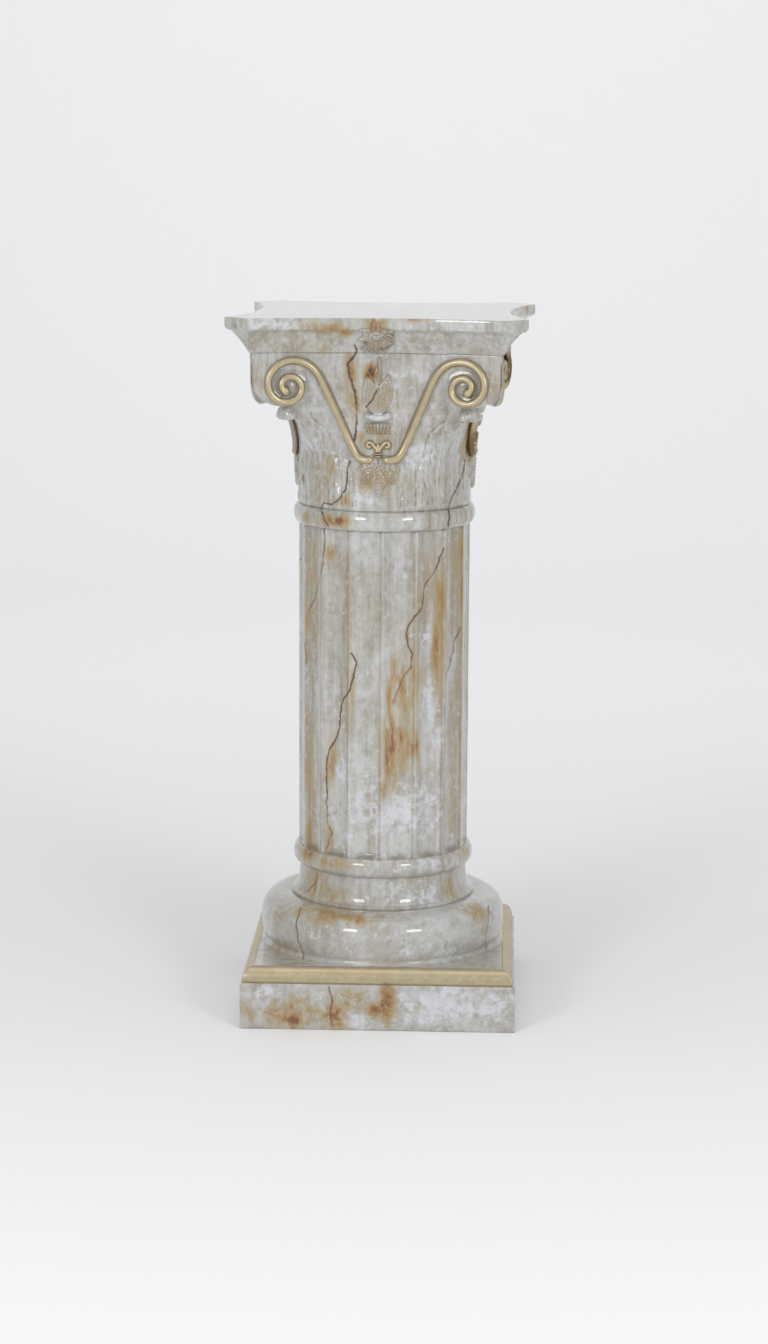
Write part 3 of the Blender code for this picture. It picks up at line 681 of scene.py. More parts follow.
def capital_mesh():
    rows, lifts = [], []
    lip = plan_row(LIP_INSET, ABACUS_FOOT)
    angle = np.arctan2(lip[:, 1], lip[:, 0])
    face_angle = from_face(angle + pi / 2)
    corner_angle = (angle + pi / 2) % (pi / 2) - pi / 4

    def around(reach, height, lift):
        row = [reach * np.cos(angle), reach * np.sin(angle), np.full(len(angle), height)]
        rows.append(np.stack(row, 1))
        lifts.append(lift + 0 * angle)

    # The third value of each ring row is a lift used only for painting: painted shade along the ring's
    # upper and lower edges.
    for turn in np.linspace(-pi / 2, pi / 2, 20):
        swelled = BELL_FOOT_RADIUS - UPPER_RING_SETBACK + UPPER_RING_SWELL * max(0.0, cos(turn)) ** 0.85
        around(swelled, CAPITAL_FOOT + UPPER_RING_HEIGHT * (1 + sin(turn)) / 2,
               -0.0010 * float(smoothstep((abs(turn) - 1.30) / 0.25)))
    for height in np.linspace(BELL_FOOT, ABACUS_FOOT, 134)[1:]:
        plain = bell_reach(face_angle, height)
        arc_corner = plain * corner_angle
        arc_face = plain * face_angle
        calm = smoothstep((ABACUS_FOOT - height) / 0.020)
        leaf = corner_leaf(arc_corner, height)
        sides = smoothstep((np.abs(arc_face) - 0.010) / 0.020) * smoothstep((height - BELL_FOOT) / 0.008)
        lift = (leaf + inner_leaf(arc_face, height) + striations(arc_face, height) * sides) * calm
        around(plain + lift, height, lift)
    band_foot = COLUMN_TOP - FASCIA_HEIGHT - OVOLO_HEIGHT
    # The third value of each level is a lift used only for painting: painted shade in the groove under the
    # band's lip, and a painted highlight along the ovolo's lower edge.
    levels = [(LIP_INSET + LIP_GROOVE, ABACUS_FOOT + 0.0002, -0.0009),
              (LIP_INSET + LIP_GROOVE, ABACUS_FOOT + 0.0010, -0.0009),
              (BAND_DEPTH, ABACUS_FOOT + 0.0011, 0.0)]
    for share in np.linspace(0.0, 1.0, 11)[1:]:
        bow = 0.0012 * sin(pi * share)
        inset = BAND_DEPTH + (OVOLO_DEPTH + 0.0012 - BAND_DEPTH) * share + bow
        levels.append((inset, ABACUS_FOOT + 0.0011 + (band_foot - 0.0022 - ABACUS_FOOT) * share, 0.0))
    levels += [(OVOLO_DEPTH + 0.0006, band_foot - 0.0008, 0.0), (OVOLO_DEPTH, band_foot, 0.0012)]
    for turn in np.linspace(0.0, pi / 2, 7)[1:]:
        levels.append((OVOLO_DEPTH * (1 - sin(turn)), band_foot + OVOLO_HEIGHT * (1 - cos(turn)), 0.0))
    for height in np.linspace(band_foot + OVOLO_HEIGHT, COLUMN_TOP - EDGE_ROUND, 5)[1:]:
        levels.append((0.0, height, 0.0))
    for turn in np.linspace(0.0, pi / 2, 4)[1:]:
        levels.append((EDGE_ROUND * (1 - cos(turn)), COLUMN_TOP - EDGE_ROUND * (1 - sin(turn)), 0.0))
    for inset, height, lift in levels:
        rows.append(plan_row(inset, height))
        lifts.append(np.full(len(angle), lift))
    edge = rows[-1]
    for scale in np.linspace(1.0, 0.0, 28)[1:]:
        inner = edge * np.array((scale, scale, 1.0))
        rows.append(inner)
        lifts.append(np.zeros(len(angle)))
    points = np.array(rows)
    lift = np.array(lifts)
    below_top = points[..., 2] < COLUMN_TOP - 0.0005
    above_ring = 0.3 + 0.7 * smoothstep((points[..., 2] - BELL_FOOT) / 0.006 - 0.3)
    # Painted shade in the carving's hollows and beside the rods' feet, even painted shade over the slab's
    # top, and a painted highlight on the carving's raised parts.
    painted_shade = 0.75 * np.clip(hollows(lift, 3) / 0.0011, 0.0, 1.0) * above_ring
    rod_gap = near_rods(points)
    painted_shade = np.maximum(painted_shade, ROD_SHADE * np.exp(-np.clip(rod_gap - ROD_RADIUS, 0, 1) / 0.0010))
    painted_shade = np.where(below_top, painted_shade, SLAB_TOP_SHADE)
    painted_highlight = np.clip(-hollows(lift, 3) / 0.0008, 0.0, 1.0) * below_top
    sunk = ripple(points, 0.03, 0.0005) * below_top
    reach = np.linalg.norm(points[..., :2], axis=2)
    points[..., :2] *= (1 - sunk / np.maximum(reach, 0.01))[..., None]
    return skin("capital_casting", points, {"painted_shade": painted_shade, "painted_highlight": painted_highlight})


# Capital: horns


def horn_rim():
    """(out, height) all round a horn's front face, evenly spaced."""
    nose_out = corner_out(LIP_INSET)
    nose_height = COLUMN_TOP - HORN_NOSE_DROP
    points = [(nose_out, HORN_TOP)]
    for angle in np.linspace(0.0, -pi / 2, 14):
        points.append((nose_out - HORN_ROUND * (1 - cos(angle)), nose_height + HORN_ROUND * sin(angle)))
    for turn in np.linspace(pi * 0.98, pi * 1.52, 14):
        out, height = spiral_point(turn)
        points.append((out + ROD_RADIUS * sin(turn), height + ROD_RADIUS * cos(turn)))
    points.append((HORN_INNER_OUT, HORN_TOP))
    points.append(points[0])
    corners = np.array(points)
    steps = np.concatenate([[0.0], np.cumsum(np.hypot(*np.diff(corners, axis=0).T))])
    even = np.linspace(0.0, steps[-1], 121)[:-1]
    return np.stack([np.interp(even, steps, corners[:, 0]), np.interp(even, steps, corners[:, 1])], 1)


def channel(out, height):
    """Depth of the hollow between the turns of the scroll."""
    radius = np.hypot(out - EYE_OUT, height - EYE_HEIGHT)
    angle = np.arctan2(out - EYE_OUT, height - EYE_HEIGHT)
    outer = np.full(radius.shape, np.nan)
    inner = np.full(radius.shape, 0.0)
    for wind in range(-1, 3):
        turn = angle + 2 * pi * wind
        there = (turn >= -SPIRAL_LEAD) & (turn <= SPIRAL_TURNS * 2 * pi)
        ring = spiral_radius(turn)
        beyond = there & (ring >= radius)
        outer = np.where(beyond & ~(outer < ring), ring, outer)
        inner = np.where(there & (ring < radius) & (ring > inner), ring, inner)
    width = np.maximum(outer - inner, 1e-5)
    share = np.clip((outer - radius) / width, 0.0, 1.0)
    depth = np.where(np.isnan(outer), 0.0, np.sin(pi * share) ** 0.7)
    return np.nan_to_num(depth)


def horn_mesh():
    """A horn: the scroll's face, carried round the corner to the next face's scroll."""
    rim = horn_rim()
    nose_out = corner_out(LIP_INSET)
    eye = np.array((EYE_OUT, EYE_HEIGHT))
    rows, painted_shade = [], []

    def face(shares, swap):
        for share in shares:
            spot = eye + (rim - eye) * share
            out, height = spot[:, 0], spot[:, 1]
            hollow = channel(out, height)
            rounding = HORN_EDGE_ROUND * smoothstep((share - 0.955) / 0.045)
            front = side_line(out, LIP_INSET) - SPIRAL_CHANNEL * hollow - rounding
            pair = (front, -out) if swap else (out, -front)
            rows.append(np.stack([pair[0], pair[1], height], 1))
            # Painted shade in the channel between the scroll's turns.
            painted_shade.append(0.45 * hollow)

    shares = np.concatenate([np.linspace(0.0, 0.93, 32), np.linspace(0.95, 1.0, 5)])
    face(shares, False)
    out, height = rim[:, 0], rim[:, 1]
    front = side_line(out, LIP_INSET) - HORN_EDGE_ROUND
    nose = smoothstep(1 - (nose_out - out) / (0.5 * HORN_ROUND))
    middle = out + (front - out) / 2 * nose
    inward = rim - eye
    inward /= np.linalg.norm(inward, axis=1)[:, None]
    for share in np.linspace(0.0, 1.0, 27)[1:-1]:
        if share <= 0.5:
            start, stop, blend = (out, -front), (middle, -middle), share * 2
        else:
            start, stop, blend = (middle, -middle), (front, -out), share * 2 - 1
        x = start[0] + (stop[0] - start[0]) * blend
        y = start[1] + (stop[1] - start[1]) * blend
        sunk = smoothstep(min(share, 1 - share) / 0.16)
        ridge = 0.35 * exp(-((share - 0.5) / 0.05) ** 2) + 0.12 * cos(share * 2 * pi * 7)
        depth = HORN_BAND_RECESS * (sunk - ridge * sunk)
        pull = -inward * depth
        diagonal = pull[:, 0] * cos(pi / 4)
        rows.append(np.stack([x + diagonal, y - diagonal, height + pull[:, 1]], 1))
        # Painted shade over the band that rounds the corner, darker near both its edges.
        dark = 0.22 + 0.35 * exp(-((min(share, 1 - share) - 0.09) / 0.05) ** 2)
        painted_shade.append(np.full(len(rim), dark))
    face(shares[::-1], True)
    return skin("horn", np.array(rows), {"painted_shade": np.array(painted_shade)})


def bud_mesh():
    """The curled tip of a corner leaf, under the horn."""
    bm = bmesh.new()
    bmesh.ops.create_uvsphere(bm, u_segments=40, v_segments=22, radius=1.0)
    height = COLUMN_TOP - BUD_DROP
    out = float(skin_depth(np.float64(0.0), np.float64(height), pi / 4)) + BUD_STAND
    for vert in bm.verts:
        spread = vert.co.copy()
        ribs = 1 + 0.06 * cos(9 * spread.y * 1.6)
        vert.co = Vector((spread.x * 0.0092 * ribs, spread.y * 0.0150, spread.z * 0.0082 * ribs))
        vert.co.z -= 0.0035 * spread.y * spread.y
        vert.co.x += 0.0025 * max(0.0, -spread.z)
    bmesh.ops.rotate(bm, verts=list(bm.verts), matrix=Matrix.Rotation(-pi / 4, 3, "Z"))
    place = Vector((out / sqrt(2), -out / sqrt(2), height))
    bmesh.ops.translate(bm, verts=list(bm.verts), vec=place)
    return finished(bm, "bud")


# Capital: ornaments on each face


def dome(gap, crown, edge):
    """Lift of a rounded form whose outline lies gap metres outwards of a point."""
    share = np.clip(gap / edge, 0.0, 1.0)
    risen = crown * np.sqrt(1 - (1 - share) ** 2)
    return np.where(gap > 0, risen, np.maximum(gap * 3.0, -RELIEF_ROOT))


def petal(x, y, foot, aim, length, width, crown, rib=0.0006, teeth=0):
    """A pointed petal from its foot; aim is in degrees from straight up, clockwise."""
    aim = radians(aim)
    dx, dy = x - foot[0], y - foot[1]
    along = dx * sin(aim) + dy * cos(aim)
    across = dx * cos(aim) - dy * sin(aim)
    share = np.clip(along / length, 0.0, 1.0)
    half = width * np.sin(pi * share ** 0.8) ** 0.75
    if teeth:
        half = half * (1 + 0.16 * np.cos(2 * pi * teeth * share))
    gap = half - np.abs(across) - np.maximum(0.0, along - length) - np.maximum(0.0, -along)
    lift = dome(gap, crown * (1 - 0.30 * share), width * 0.75)
    line = rib * np.exp(-(across / 0.0010) ** 2)
    side_lines = 0.4 * rib * np.cos(2 * pi * (along - 1.2 * np.abs(across)) / 0.0042)
    return np.where(gap > 0, lift + line + side_lines * smoothstep(gap / 0.001), lift)


def strand(x, y, points, radius, crown):
    """A rounded strand along a line of points."""
    gap = np.full(np.shape(x), -1.0)
    for (ax, ay), (bx, by) in zip(points[:-1], points[1:]):
        run = np.array((bx - ax, by - ay))
        share = np.clip(((x - ax) * run[0] + (y - ay) * run[1]) / (run @ run), 0.0, 1.0)
        gap = np.maximum(gap, radius - np.hypot(x - ax - run[0] * share, y - ay - run[1] * share))
    return dome(gap, crown, radius)


def curl_points(centre, radius, start, sweep, hand=1, shrink=0.45):
    """Points of a small curl, angles in degrees."""
    points = []
    for share in np.linspace(0.0, 1.0, 12):
        angle = radians(start + sweep * share)
        reach = radius * (1 - shrink * share)
        points.append((centre[0] + hand * reach * cos(angle), centre[1] + reach * sin(angle)))
    return points


def palmette(x, y):
    """A broad leaf of round lobes that points down."""
    foot = (0.0, 0.0060)
    lobes = [petal(x, y, foot, 180, 0.0375, 0.0110, 0.0046, 0.0005, 2)]
    for hand in (-1, 1):
        lobes.append(petal(x, y, foot, hand * 142, 0.0300, 0.0088, 0.0042, 0.0005, 2))
        lobes.append(petal(x, y, foot, hand * 108, 0.0258, 0.0085, 0.0040, 0.0005, 2))
        lobes.append(petal(x, y, foot, hand * 74, 0.0190, 0.0066, 0.0034, 0.0004, 2))
    return np.maximum.reduce(lobes)


def trefoil(x, y):
    """Two curls on a ringed stem, with a bud between them."""
    forms = [petal(x, y, (0.0, -0.0030), 0, 0.0080, 0.0034, 0.0050, 0.0)]
    for hand in (-1, 1):
        arm = [(0.0, -0.0040), (hand * 0.0036, 0.0000), (hand * 0.0062, 0.0036)]
        arm += curl_points((hand * 0.0098, 0.0022), 0.0034, 120, -235, hand, 0.45)
        forms.append(strand(x, y, arm, 0.0029, 0.0054))
    for level, radius in ((-0.0046, 0.0052), (-0.0074, 0.0046), (-0.0100, 0.0036)):
        forms.append(strand(x, y, [(-radius * 0.6, level), (radius * 0.6, level)], 0.0017, 0.0056))
    return np.maximum.reduce(forms)


def cup(x, y):
    """A small combed cup."""
    half = 0.0128 + 0.0024 * smoothstep((y + 0.006) / 0.012)
    gap = np.minimum(half - np.abs(x), 0.0066 - np.abs(y))
    lift = dome(gap, 0.0050, 0.0035)
    comb = 0.0007 * np.cos(2 * pi * x / (0.0036 + 0.10 * y))
    return np.where(gap > 0, lift + comb * smoothstep(gap / 0.0012), lift)


def curl(x, y):
    """A smooth bright collar over the cup."""
    arc = [(0.0118 * sin(t), 0.0016 - 0.0040 * cos(t)) for t in np.linspace(-1.30, 1.30, 9)]
    return np.maximum(strand(x, y, arc, 0.0044, 0.0062),
                      petal(x, y, (0.0, -0.0050), 0, 0.0120, 0.0078, 0.0050, 0.0))


def tulip(x, y):
    """Long leaves that meet at the foot round a bud, and a stalk that hangs between them."""
    forms = []
    for hand in (-1, 1):
        forms.append(petal(x, y, (0.0, -0.0310), hand * 15, 0.0500, 0.0100, 0.0040, 0.0004))
        forms.append(petal(x, y, (hand * 0.0030, -0.0250), hand * 24, 0.0330, 0.0070, 0.0032, 0.0004))
    forms.append(petal(x, y, (0.0, -0.0300), -3, 0.0420, 0.0070, 0.0044, 0.0004))
    forms.append(petal(x, y, (-0.0010, 0.0020), 6, 0.0290, 0.0052, 0.0030, 0.0003))
    stalk = [(0.0022, 0.0330), (0.0030, 0.0210), (0.0012, 0.0110)]
    forms.append(strand(x, y, stalk, 0.0024, 0.0044))
    return np.maximum.reduce(forms)


def rosette(x, y):
    """A loose flower with a boss, drooping petals and two curls, hung from a short stem."""
    forms = [strand(x, y, [(0.0, 0.0150), (0.0, 0.0040)], 0.0060, 0.0046)]
    for aim in (70, 112, 150, 185, 222, 262, 296):
        forms.append(petal(x, y, (0.0, 0.0010), aim, 0.0200, 0.0064, 0.0042, 0.0005, 2))
    forms.append(strand(x, y, [(-0.0010, 0.0005), (0.0010, 0.0005)], 0.0048, 0.0066))
    forms.append(strand(x, y, [(0.0130, 0.0005), (0.0140, 0.0005)], 0.0058, 0.0040))
    forms.append(strand(x, y, [(-0.0110, -0.0110), (-0.0100, -0.0110)], 0.0062, 0.0040))
    forms.append(strand(x, y, curl_points((0.0140, 0.0005), 0.0052, 170, -330, 1, 0.8), 0.0016, 0.0058))
    forms.append(strand(x, y, curl_points((-0.0105, -0.0110), 0.0056, 60, 330, 1, 0.8), 0.0016, 0.0058))
    return np.maximum.reduce(forms)


def ornament(form, half_width, half_height, drop, depth_at, tinted=0.8, spacing=0.0006):
    """A carved ornament: a fine sheet that stands out by the form's lift, sunk all round its rim,
    with painted shade in its low parts and crevices. Tinted is how strongly it is brushed over with brown."""
    bm = bmesh.new()
    painted_shade = bm.verts.layers.float.new("painted_shade")
    tan = bm.verts.layers.float.new("tan")
    bmesh.ops.create_grid(bm, x_segments=round(2 * half_width / spacing),
                          y_segments=round(2 * half_height / spacing), size=1.0)
    spots = np.array([vert.co for vert in bm.verts])
    reach = np.abs(spots).max(0)
    x = spots[:, 0] / reach[0] * half_width
    y = spots[:, 1] / reach[1] * half_height
    lift = form(x, y)
    height = COLUMN_TOP - drop + y
    depth = depth_at(x, height)
    # Painted shade: darker in the low parts of the relief and darkest in its crevices.
    step = CREVICE_STEP
    beside = [form(x + dx, y + dy) for dx, dy in ((step, 0), (-step, 0), (0, step), (0, -step))]
    crevice = np.clip((sum(beside) / 4 - lift) / CREVICE_DEPTH, 0.0, 1.0) * (lift > 0)
    low = np.maximum(np.clip(0.42 - lift / 0.0040, 0.0, 0.30), 0.95 * crevice)
    for number, vert in enumerate(bm.verts):
        vert.co = Vector((x[number], -depth[number] - lift[number], height[number]))
        vert[painted_shade] = low[number]
        vert[tan] = tinted * min(1.0, max(0.0, 0.35 + lift[number] / 0.0040))
    bm.verts.index_update()
    buried = lift <= -RELIEF_ROOT * 0.999
    gone = [face for face in bm.faces if all(buried[vert.index] for vert in face.verts)]
    bmesh.ops.delete(bm, geom=gone, context="FACES")
    close_up(bm)
    return finished(bm, "ornament")


# Painted veins, stains and washes, some of which also paint shade: where they show in the photograph, in
# its pixels

VEINS = (
    (0.95, ((354.8, 345), (357.3, 351), (348.5, 364), (350, 376), (354, 390), (356, 400), (356.6, 420),
            (356, 432), (354, 441))),
    (0.75, ((377, 390), (372, 400), (366.6, 407.5))),
    (1.20, ((370, 370), (373.5, 377.5))),
    (0.70, ((350, 462), (347, 469), (347, 477), (345, 490), (340, 499), (332, 505), (323.5, 502.5),
            (321.6, 511), (325, 520), (330, 527.5))),
    (0.85, ((469, 421), (468, 440), (466, 456), (461, 479), (453.5, 495), (449, 506), (448.5, 526))),
    (0.35, ((303, 475), (304, 486))),
    (0.30, ((393, 344), (390, 347.5), (383.5, 349), (380, 347.5))),
    (0.30, ((325, 527), (324.5, 548), (322, 568), (318.5, 585), (315, 599), (310, 607), (309, 614))),
    (0.60, ((444, 549), (434, 571.5), (424.5, 586), (423, 603), (418, 613), (409, 625), (406, 634),
            (407.5, 644), (412, 655), (410.6, 667), (403, 679), (397, 691.5), (392, 705))),
    (0.70, ((353, 654), (357, 664), (353, 677), (350, 690), (343, 699), (341, 711), (339, 727),
            (337, 737.5), (329, 751), (327, 759), (326.4, 776), (327, 800), (327.6, 824), (332, 833),
            (329, 844), (325, 853))),
    (0.50, ((461, 627), (453.6, 644), (450.6, 662), (445, 679))),
    (0.45, ((465, 634.5), (464, 652))),
    (0.30, ((304.5, 643), (307, 664))),
    (0.45, ((467.5, 534), (468.2, 558), (465, 570))),
    (0.60, ((318, 873.5), (316, 883), (306.5, 892))),
    (0.50, ((300, 908), (297, 924), (298, 939.5), (304, 955), (303, 962))),
    (0.40, ((489, 905), (487, 930), (485, 949))),
    (0.40, ((262, 962), (276, 965), (300, 963), (316, 965))),
    (0.35, ((268, 957), (282, 960), (296, 959))),
    (0.40, ((486, 951), (496, 952))),
    (0.55, ((328.5, 987), (333, 1002.6), (329.5, 1012), (333, 1028.5))),
)

# Each stain: centre, half width, half height, strength
# Rusty stains; those at (473, 440), (470, 440) and (505, 367), on the capital's right side, paint the shade
# on its volute and gilding there.
RUST_AND_SHADE = (
    (322, 328, 17, 5, 0.85), (345, 331, 9, 5, 0.65), (376, 324, 8, 8, 1.0), (373, 319, 4, 3, 1.0),
    (414, 319, 12, 2.5, 0.9), (318, 349, 14, 6, 0.35), (351, 368, 5, 16, 0.74), (355, 406, 5, 24, 0.72),
    (371, 372, 6, 8, 0.95), (386, 398, 12, 14, 0.45), (378, 431, 11, 6, 0.55), (376, 480, 20, 14, 0.45),
    (333, 470, 8, 14, 0.5), (345, 500, 8, 6, 0.45), (337, 521, 14, 5, 1.0), (305, 518, 7, 6, 0.6),
    (471, 517, 4, 8, 0.5), (473, 440, 6, 16, 0.8), (361, 436, 5, 6, 0.5), (463, 470, 5, 16, 0.3),
    (330, 553, 6, 9, 0.55), (312, 570, 6, 24, 0.45), (309, 620, 5, 22, 0.4), (439, 600, 7, 22, 0.8),
    (438, 655, 6, 34, 0.8), (462, 545, 5, 22, 0.75), (463, 600, 4, 34, 0.6), (464, 662, 4, 30, 0.5),
    (454, 565, 6, 20, 0.45), (420, 602, 6, 20, 0.4), (505, 367, 12, 20, 0.9),
    (470, 440, 14, 18, 1.0), (402, 690, 15, 26, 0.95), (396, 735, 11, 28, 1.0),
    (388, 760, 7, 26, 0.9), (410, 745, 9, 20, 0.8), (384, 785, 5, 14, 0.8), (350, 690, 6, 30, 0.35),
    (331, 762, 6, 26, 0.6), (328, 838, 5, 15, 0.9), (309, 780, 5, 40, 0.5), (309, 840, 5, 22, 0.65),
    (463, 790, 4, 50, 0.45), (452, 800, 4, 30, 0.3), (463, 850, 4, 12, 0.6),
    (309, 852, 14, 8, 0.85), (330, 864, 16, 6, 0.7), (466, 853, 10, 7, 0.65), (316, 884, 7, 13, 0.85),
    (334, 895, 12, 9, 0.5), (449, 892, 8, 14, 0.6), (303, 908, 10, 8, 0.6), (330, 916, 26, 7, 0.6),
    (362, 921, 7, 4, 0.8), (474, 910, 10, 10, 0.75), (276, 950, 12, 8, 0.35), (288, 1014, 20, 14, 0.7),
    (292, 1022, 9, 8, 1.0), (333, 1016, 9, 14, 1.0), (345, 1000, 16, 9, 0.72), (386, 1000, 7, 18, 0.85),
    (377, 1010, 9, 7, 0.8), (250, 1015, 8, 10, 0.4),
)
LILAC = (
    (421, 458, 14, 17, 0.9), (361, 499, 12, 14, 0.9), (430, 420, 8, 16, 0.5), (325, 358, 14, 5, 0.6),
    (470, 328, 40, 6, 0.55), (455, 356, 14, 6, 0.5), (398, 420, 8, 8, 0.6), (366, 362, 6, 8, 0.5),
    (394, 384, 7, 12, 0.4), (428, 640, 10, 16, 0.9), (427, 700, 9, 24, 0.9), (437, 740, 7, 22, 0.6),
    (398, 812, 44, 28, 0.85), (372, 790, 16, 30, 0.6), (341, 765, 7, 32, 0.8), (360, 560, 12, 22, 0.35),
    (392, 660, 8, 14, 0.4), (452, 840, 10, 18, 0.6), (345, 838, 12, 16, 0.7), (425, 866, 34, 6, 0.6),
    (384, 890, 16, 8, 0.6), (424, 896, 16, 12, 0.8), (345, 936, 20, 10, 0.4), (405, 955, 22, 10, 0.7),
    (445, 955, 22, 8, 0.5), (370, 962, 14, 5, 0.6), (455, 1006, 56, 22, 1.0), (355, 1020, 20, 8, 0.7),
    (262, 996, 14, 10, 0.8), (300, 437, 26, 20, 1.2), (376, 418, 14, 7, 0.9), (396, 386, 10, 16, 0.7),
    (362, 396, 5, 20, 0.5), (380, 943, 70, 10, 0.5), (280, 325, 44, 6, 0.7),
    (310, 996, 40, 8, 0.6), (440, 324, 44, 6, 0.4), (505, 1015, 10, 16, 0.7), (250, 358, 10, 20, 0.3),
)
# Brown washes; most lie down the sides of the shaft, neck, torus, horns and plinth, where they paint the
# shade that falls there as well as a brown tint.
WARM_AND_SHADE = (
    (308, 620, 20, 90, 0.75), (308, 760, 20, 80, 0.75), (312, 560, 16, 40, 0.65), (326, 700, 7, 60, 0.35),
    (436, 600, 14, 50, 0.95), (440, 660, 12, 60, 0.85), (461, 600, 20, 60, 1.20), (459, 720, 22, 70, 0.95),
    (458, 800, 20, 50, 0.75), (404, 720, 18, 60, 0.45), (345, 720, 10, 60, 0.35), (452, 560, 14, 30, 0.7),
    (348, 600, 6, 60, 1.00),
    (300, 450, 14, 40, 0.45), (320, 480, 20, 30, 0.45), (372, 390, 16, 30, 0.30), (372, 345, 30, 10, 0.45),
    (290, 340, 40, 8, 0.45), (300, 320, 40, 5, 0.40), (376, 435, 16, 12, 0.40), (374, 482, 22, 16, 0.45),
    (255, 380, 8, 24, 0.55), (495, 385, 10, 24, 0.45), (468, 450, 10, 40, 0.55), (470, 400, 16, 14, 0.35),
    (330, 520, 40, 8, 0.45), (455, 520, 16, 8, 0.35), (305, 860, 16, 10, 0.55), (465, 860, 14, 10, 0.50),
    (310, 885, 18, 16, 0.95), (455, 888, 14, 14, 0.50), (280, 915, 18, 20, 0.40), (485, 915, 18, 20, 0.50),
    (345, 915, 40, 10, 0.45), (280, 952, 26, 8, 0.55), (300, 1005, 60, 20, 0.34), (370, 1005, 24, 18, 0.45),
    (245, 1000, 10, 24, 0.40),
)
STAINS = {"rust_and_shade": RUST_AND_SHADE, "lilac": LILAC, "warm_and_shade": WARM_AND_SHADE}
HIDDEN_VIEWS = ((118, True), (236, False))
VEIN_STEP = 2.2
VEIN_JITTER = 0.60
VEIN_BREAK = 0.007
SEEN_ANGLE = radians(84)
FAR_FROM_VEIN = 20.0


def photo_ray(x, y, turn=0.0):
    """Start and direction of the photograph's line of sight through a pixel, turned about the axis."""
    right, up, forward = camera_axes()
    aim = forward + right * ((x - PHOTO_WIDTH / 2) / FOCAL_PIXELS)
    aim = aim + up * ((PHOTO_HEIGHT / 2 - y) / FOCAL_PIXELS)
    spin = Matrix.Rotation(turn, 3, "Z")
    return spin @ CAMERA_PLACE, (spin @ aim).normalized()


def surface_tree(pieces):
    """A tree of all the marble pieces' faces, to find where a line of sight meets the stone."""
    bm = bmesh.new()
    for piece in pieces:
        bm.from_mesh(piece.data)
    tree = BVHTree.FromBMesh(bm)
    bm.free()
    return tree


def seen_in_photo(place, margin=0.0):
    """Whether a place on the stone is on the side that the photograph shows."""
    angle = atan2(place.y, place.x) + pi / 2 - CAMERA_TURN
    return abs((angle + pi) % (2 * pi) - pi) < SEEN_ANGLE + margin


def lay_veins(tree):
    """Points on the stone along each vein: place, half width in mm and number of the vein."""
    random = np.random.default_rng(7)
    laid = []
    number = 0
    for turn, mirrored in ((0, False),) + HIDDEN_VIEWS:
        for width, line in VEINS:
            corners = np.array(line, float)
            if mirrored:
                corners[:, 0] = PHOTO_WIDTH - corners[:, 0]
            lengths = np.concatenate([[0.0], np.cumsum(np.hypot(*np.diff(corners, axis=0).T))])
            steps = np.arange(0.0, lengths[-1], VEIN_STEP)
            jitter = random.normal(0.0, VEIN_JITTER, (len(steps), 2))
            jitter[1:] = 0.55 * jitter[1:] + 0.45 * jitter[:-1]
            number += 1
            for step, shake in zip(steps, jitter):
                x = np.interp(step, lengths, corners[:, 0]) + shake[0]
                y = np.interp(step, lengths, corners[:, 1]) + 0.3 * shake[1]
                place = tree.ray_cast(*photo_ray(x, y, radians(turn)))[0]
                swell = width * (0.65 + 0.7 * random.random())
                if place is None or (turn and seen_in_photo(place)):
                    number += 1
                    continue
                if laid and (laid[-1][0] - place).length > VEIN_BREAK:
                    number += 1
                laid.append((place, swell, number))
    return laid


def lay_stains(tree, stains):
    """Places on the stone of each stain, with its size in metres and strength."""
    laid = []
    for turn, mirrored in ((0, False),) + HIDDEN_VIEWS:
        for x, y, wide, high, strength in stains:
            if mirrored:
                x = PHOTO_WIDTH - x
            start, aim = photo_ray(x, y, radians(turn))
            place = tree.ray_cast(start, aim)[0]
            if place is None or (turn and seen_in_photo(place, 0.10)):
                continue
            metres = (place - start).length / FOCAL_PIXELS
            laid.append((place, wide * metres, high * metres, strength))
    return laid


def stain_layer(spots, laid):
    """0 to 1 at each point: the strongest stain there, soft at its rim."""
    values = np.zeros(len(spots))
    for place, wide, high, strength in laid:
        apart = spots - np.array(place)
        level = np.hypot(apart[:, 0], apart[:, 1]) / (wide * 1.45)
        upright = apart[:, 2] / (high * 1.30)
        values = np.maximum(values, strength * np.exp(-1.1 * (level ** 2 + upright ** 2)))
    return values


def vein_layers(spots, laid):
    """Distance in mm to the nearest vein, the same with a sign for its side, and its half width."""
    tree = KDTree(len(laid))
    for index, (place, _, _) in enumerate(laid):
        tree.insert(place, index)
    tree.balance()
    far = np.empty(len(spots))
    side = np.empty(len(spots))
    half = np.empty(len(spots))
    for index, spot in enumerate(spots):
        spot = Vector(spot)
        _, nearest, gap = tree.find(spot)
        sign = 1.0
        if gap < FAR_FROM_VEIN * MM:
            gap *= 1.0001
            for start in (nearest - 1, nearest):
                if start < 0 or start + 1 >= len(laid) or laid[start][2] != laid[start + 1][2]:
                    continue
                place = laid[start][0]
                run = laid[start + 1][0] - place
                share = (spot - place).dot(run) / max(run.length_squared, 1e-12)
                apart = spot - place - run * min(1.0, max(0.0, share))
                if apart.length <= gap:
                    gap = apart.length
                    outward = Vector((spot.x, spot.y, 0.0))
                    sign = 1.0 if run.cross(spot - place).dot(outward) > 0 else -1.0
        far[index] = min(gap / MM, FAR_FROM_VEIN)
        side[index] = sign * far[index]
        half[index] = laid[nearest][1]
    return far, side, half


def set_layer(mesh, name, values):
    layer = mesh.attributes.get(name) or mesh.attributes.new(name, "FLOAT", "POINT")
    layer.data.foreach_set("value", np.asarray(values, np.float32))


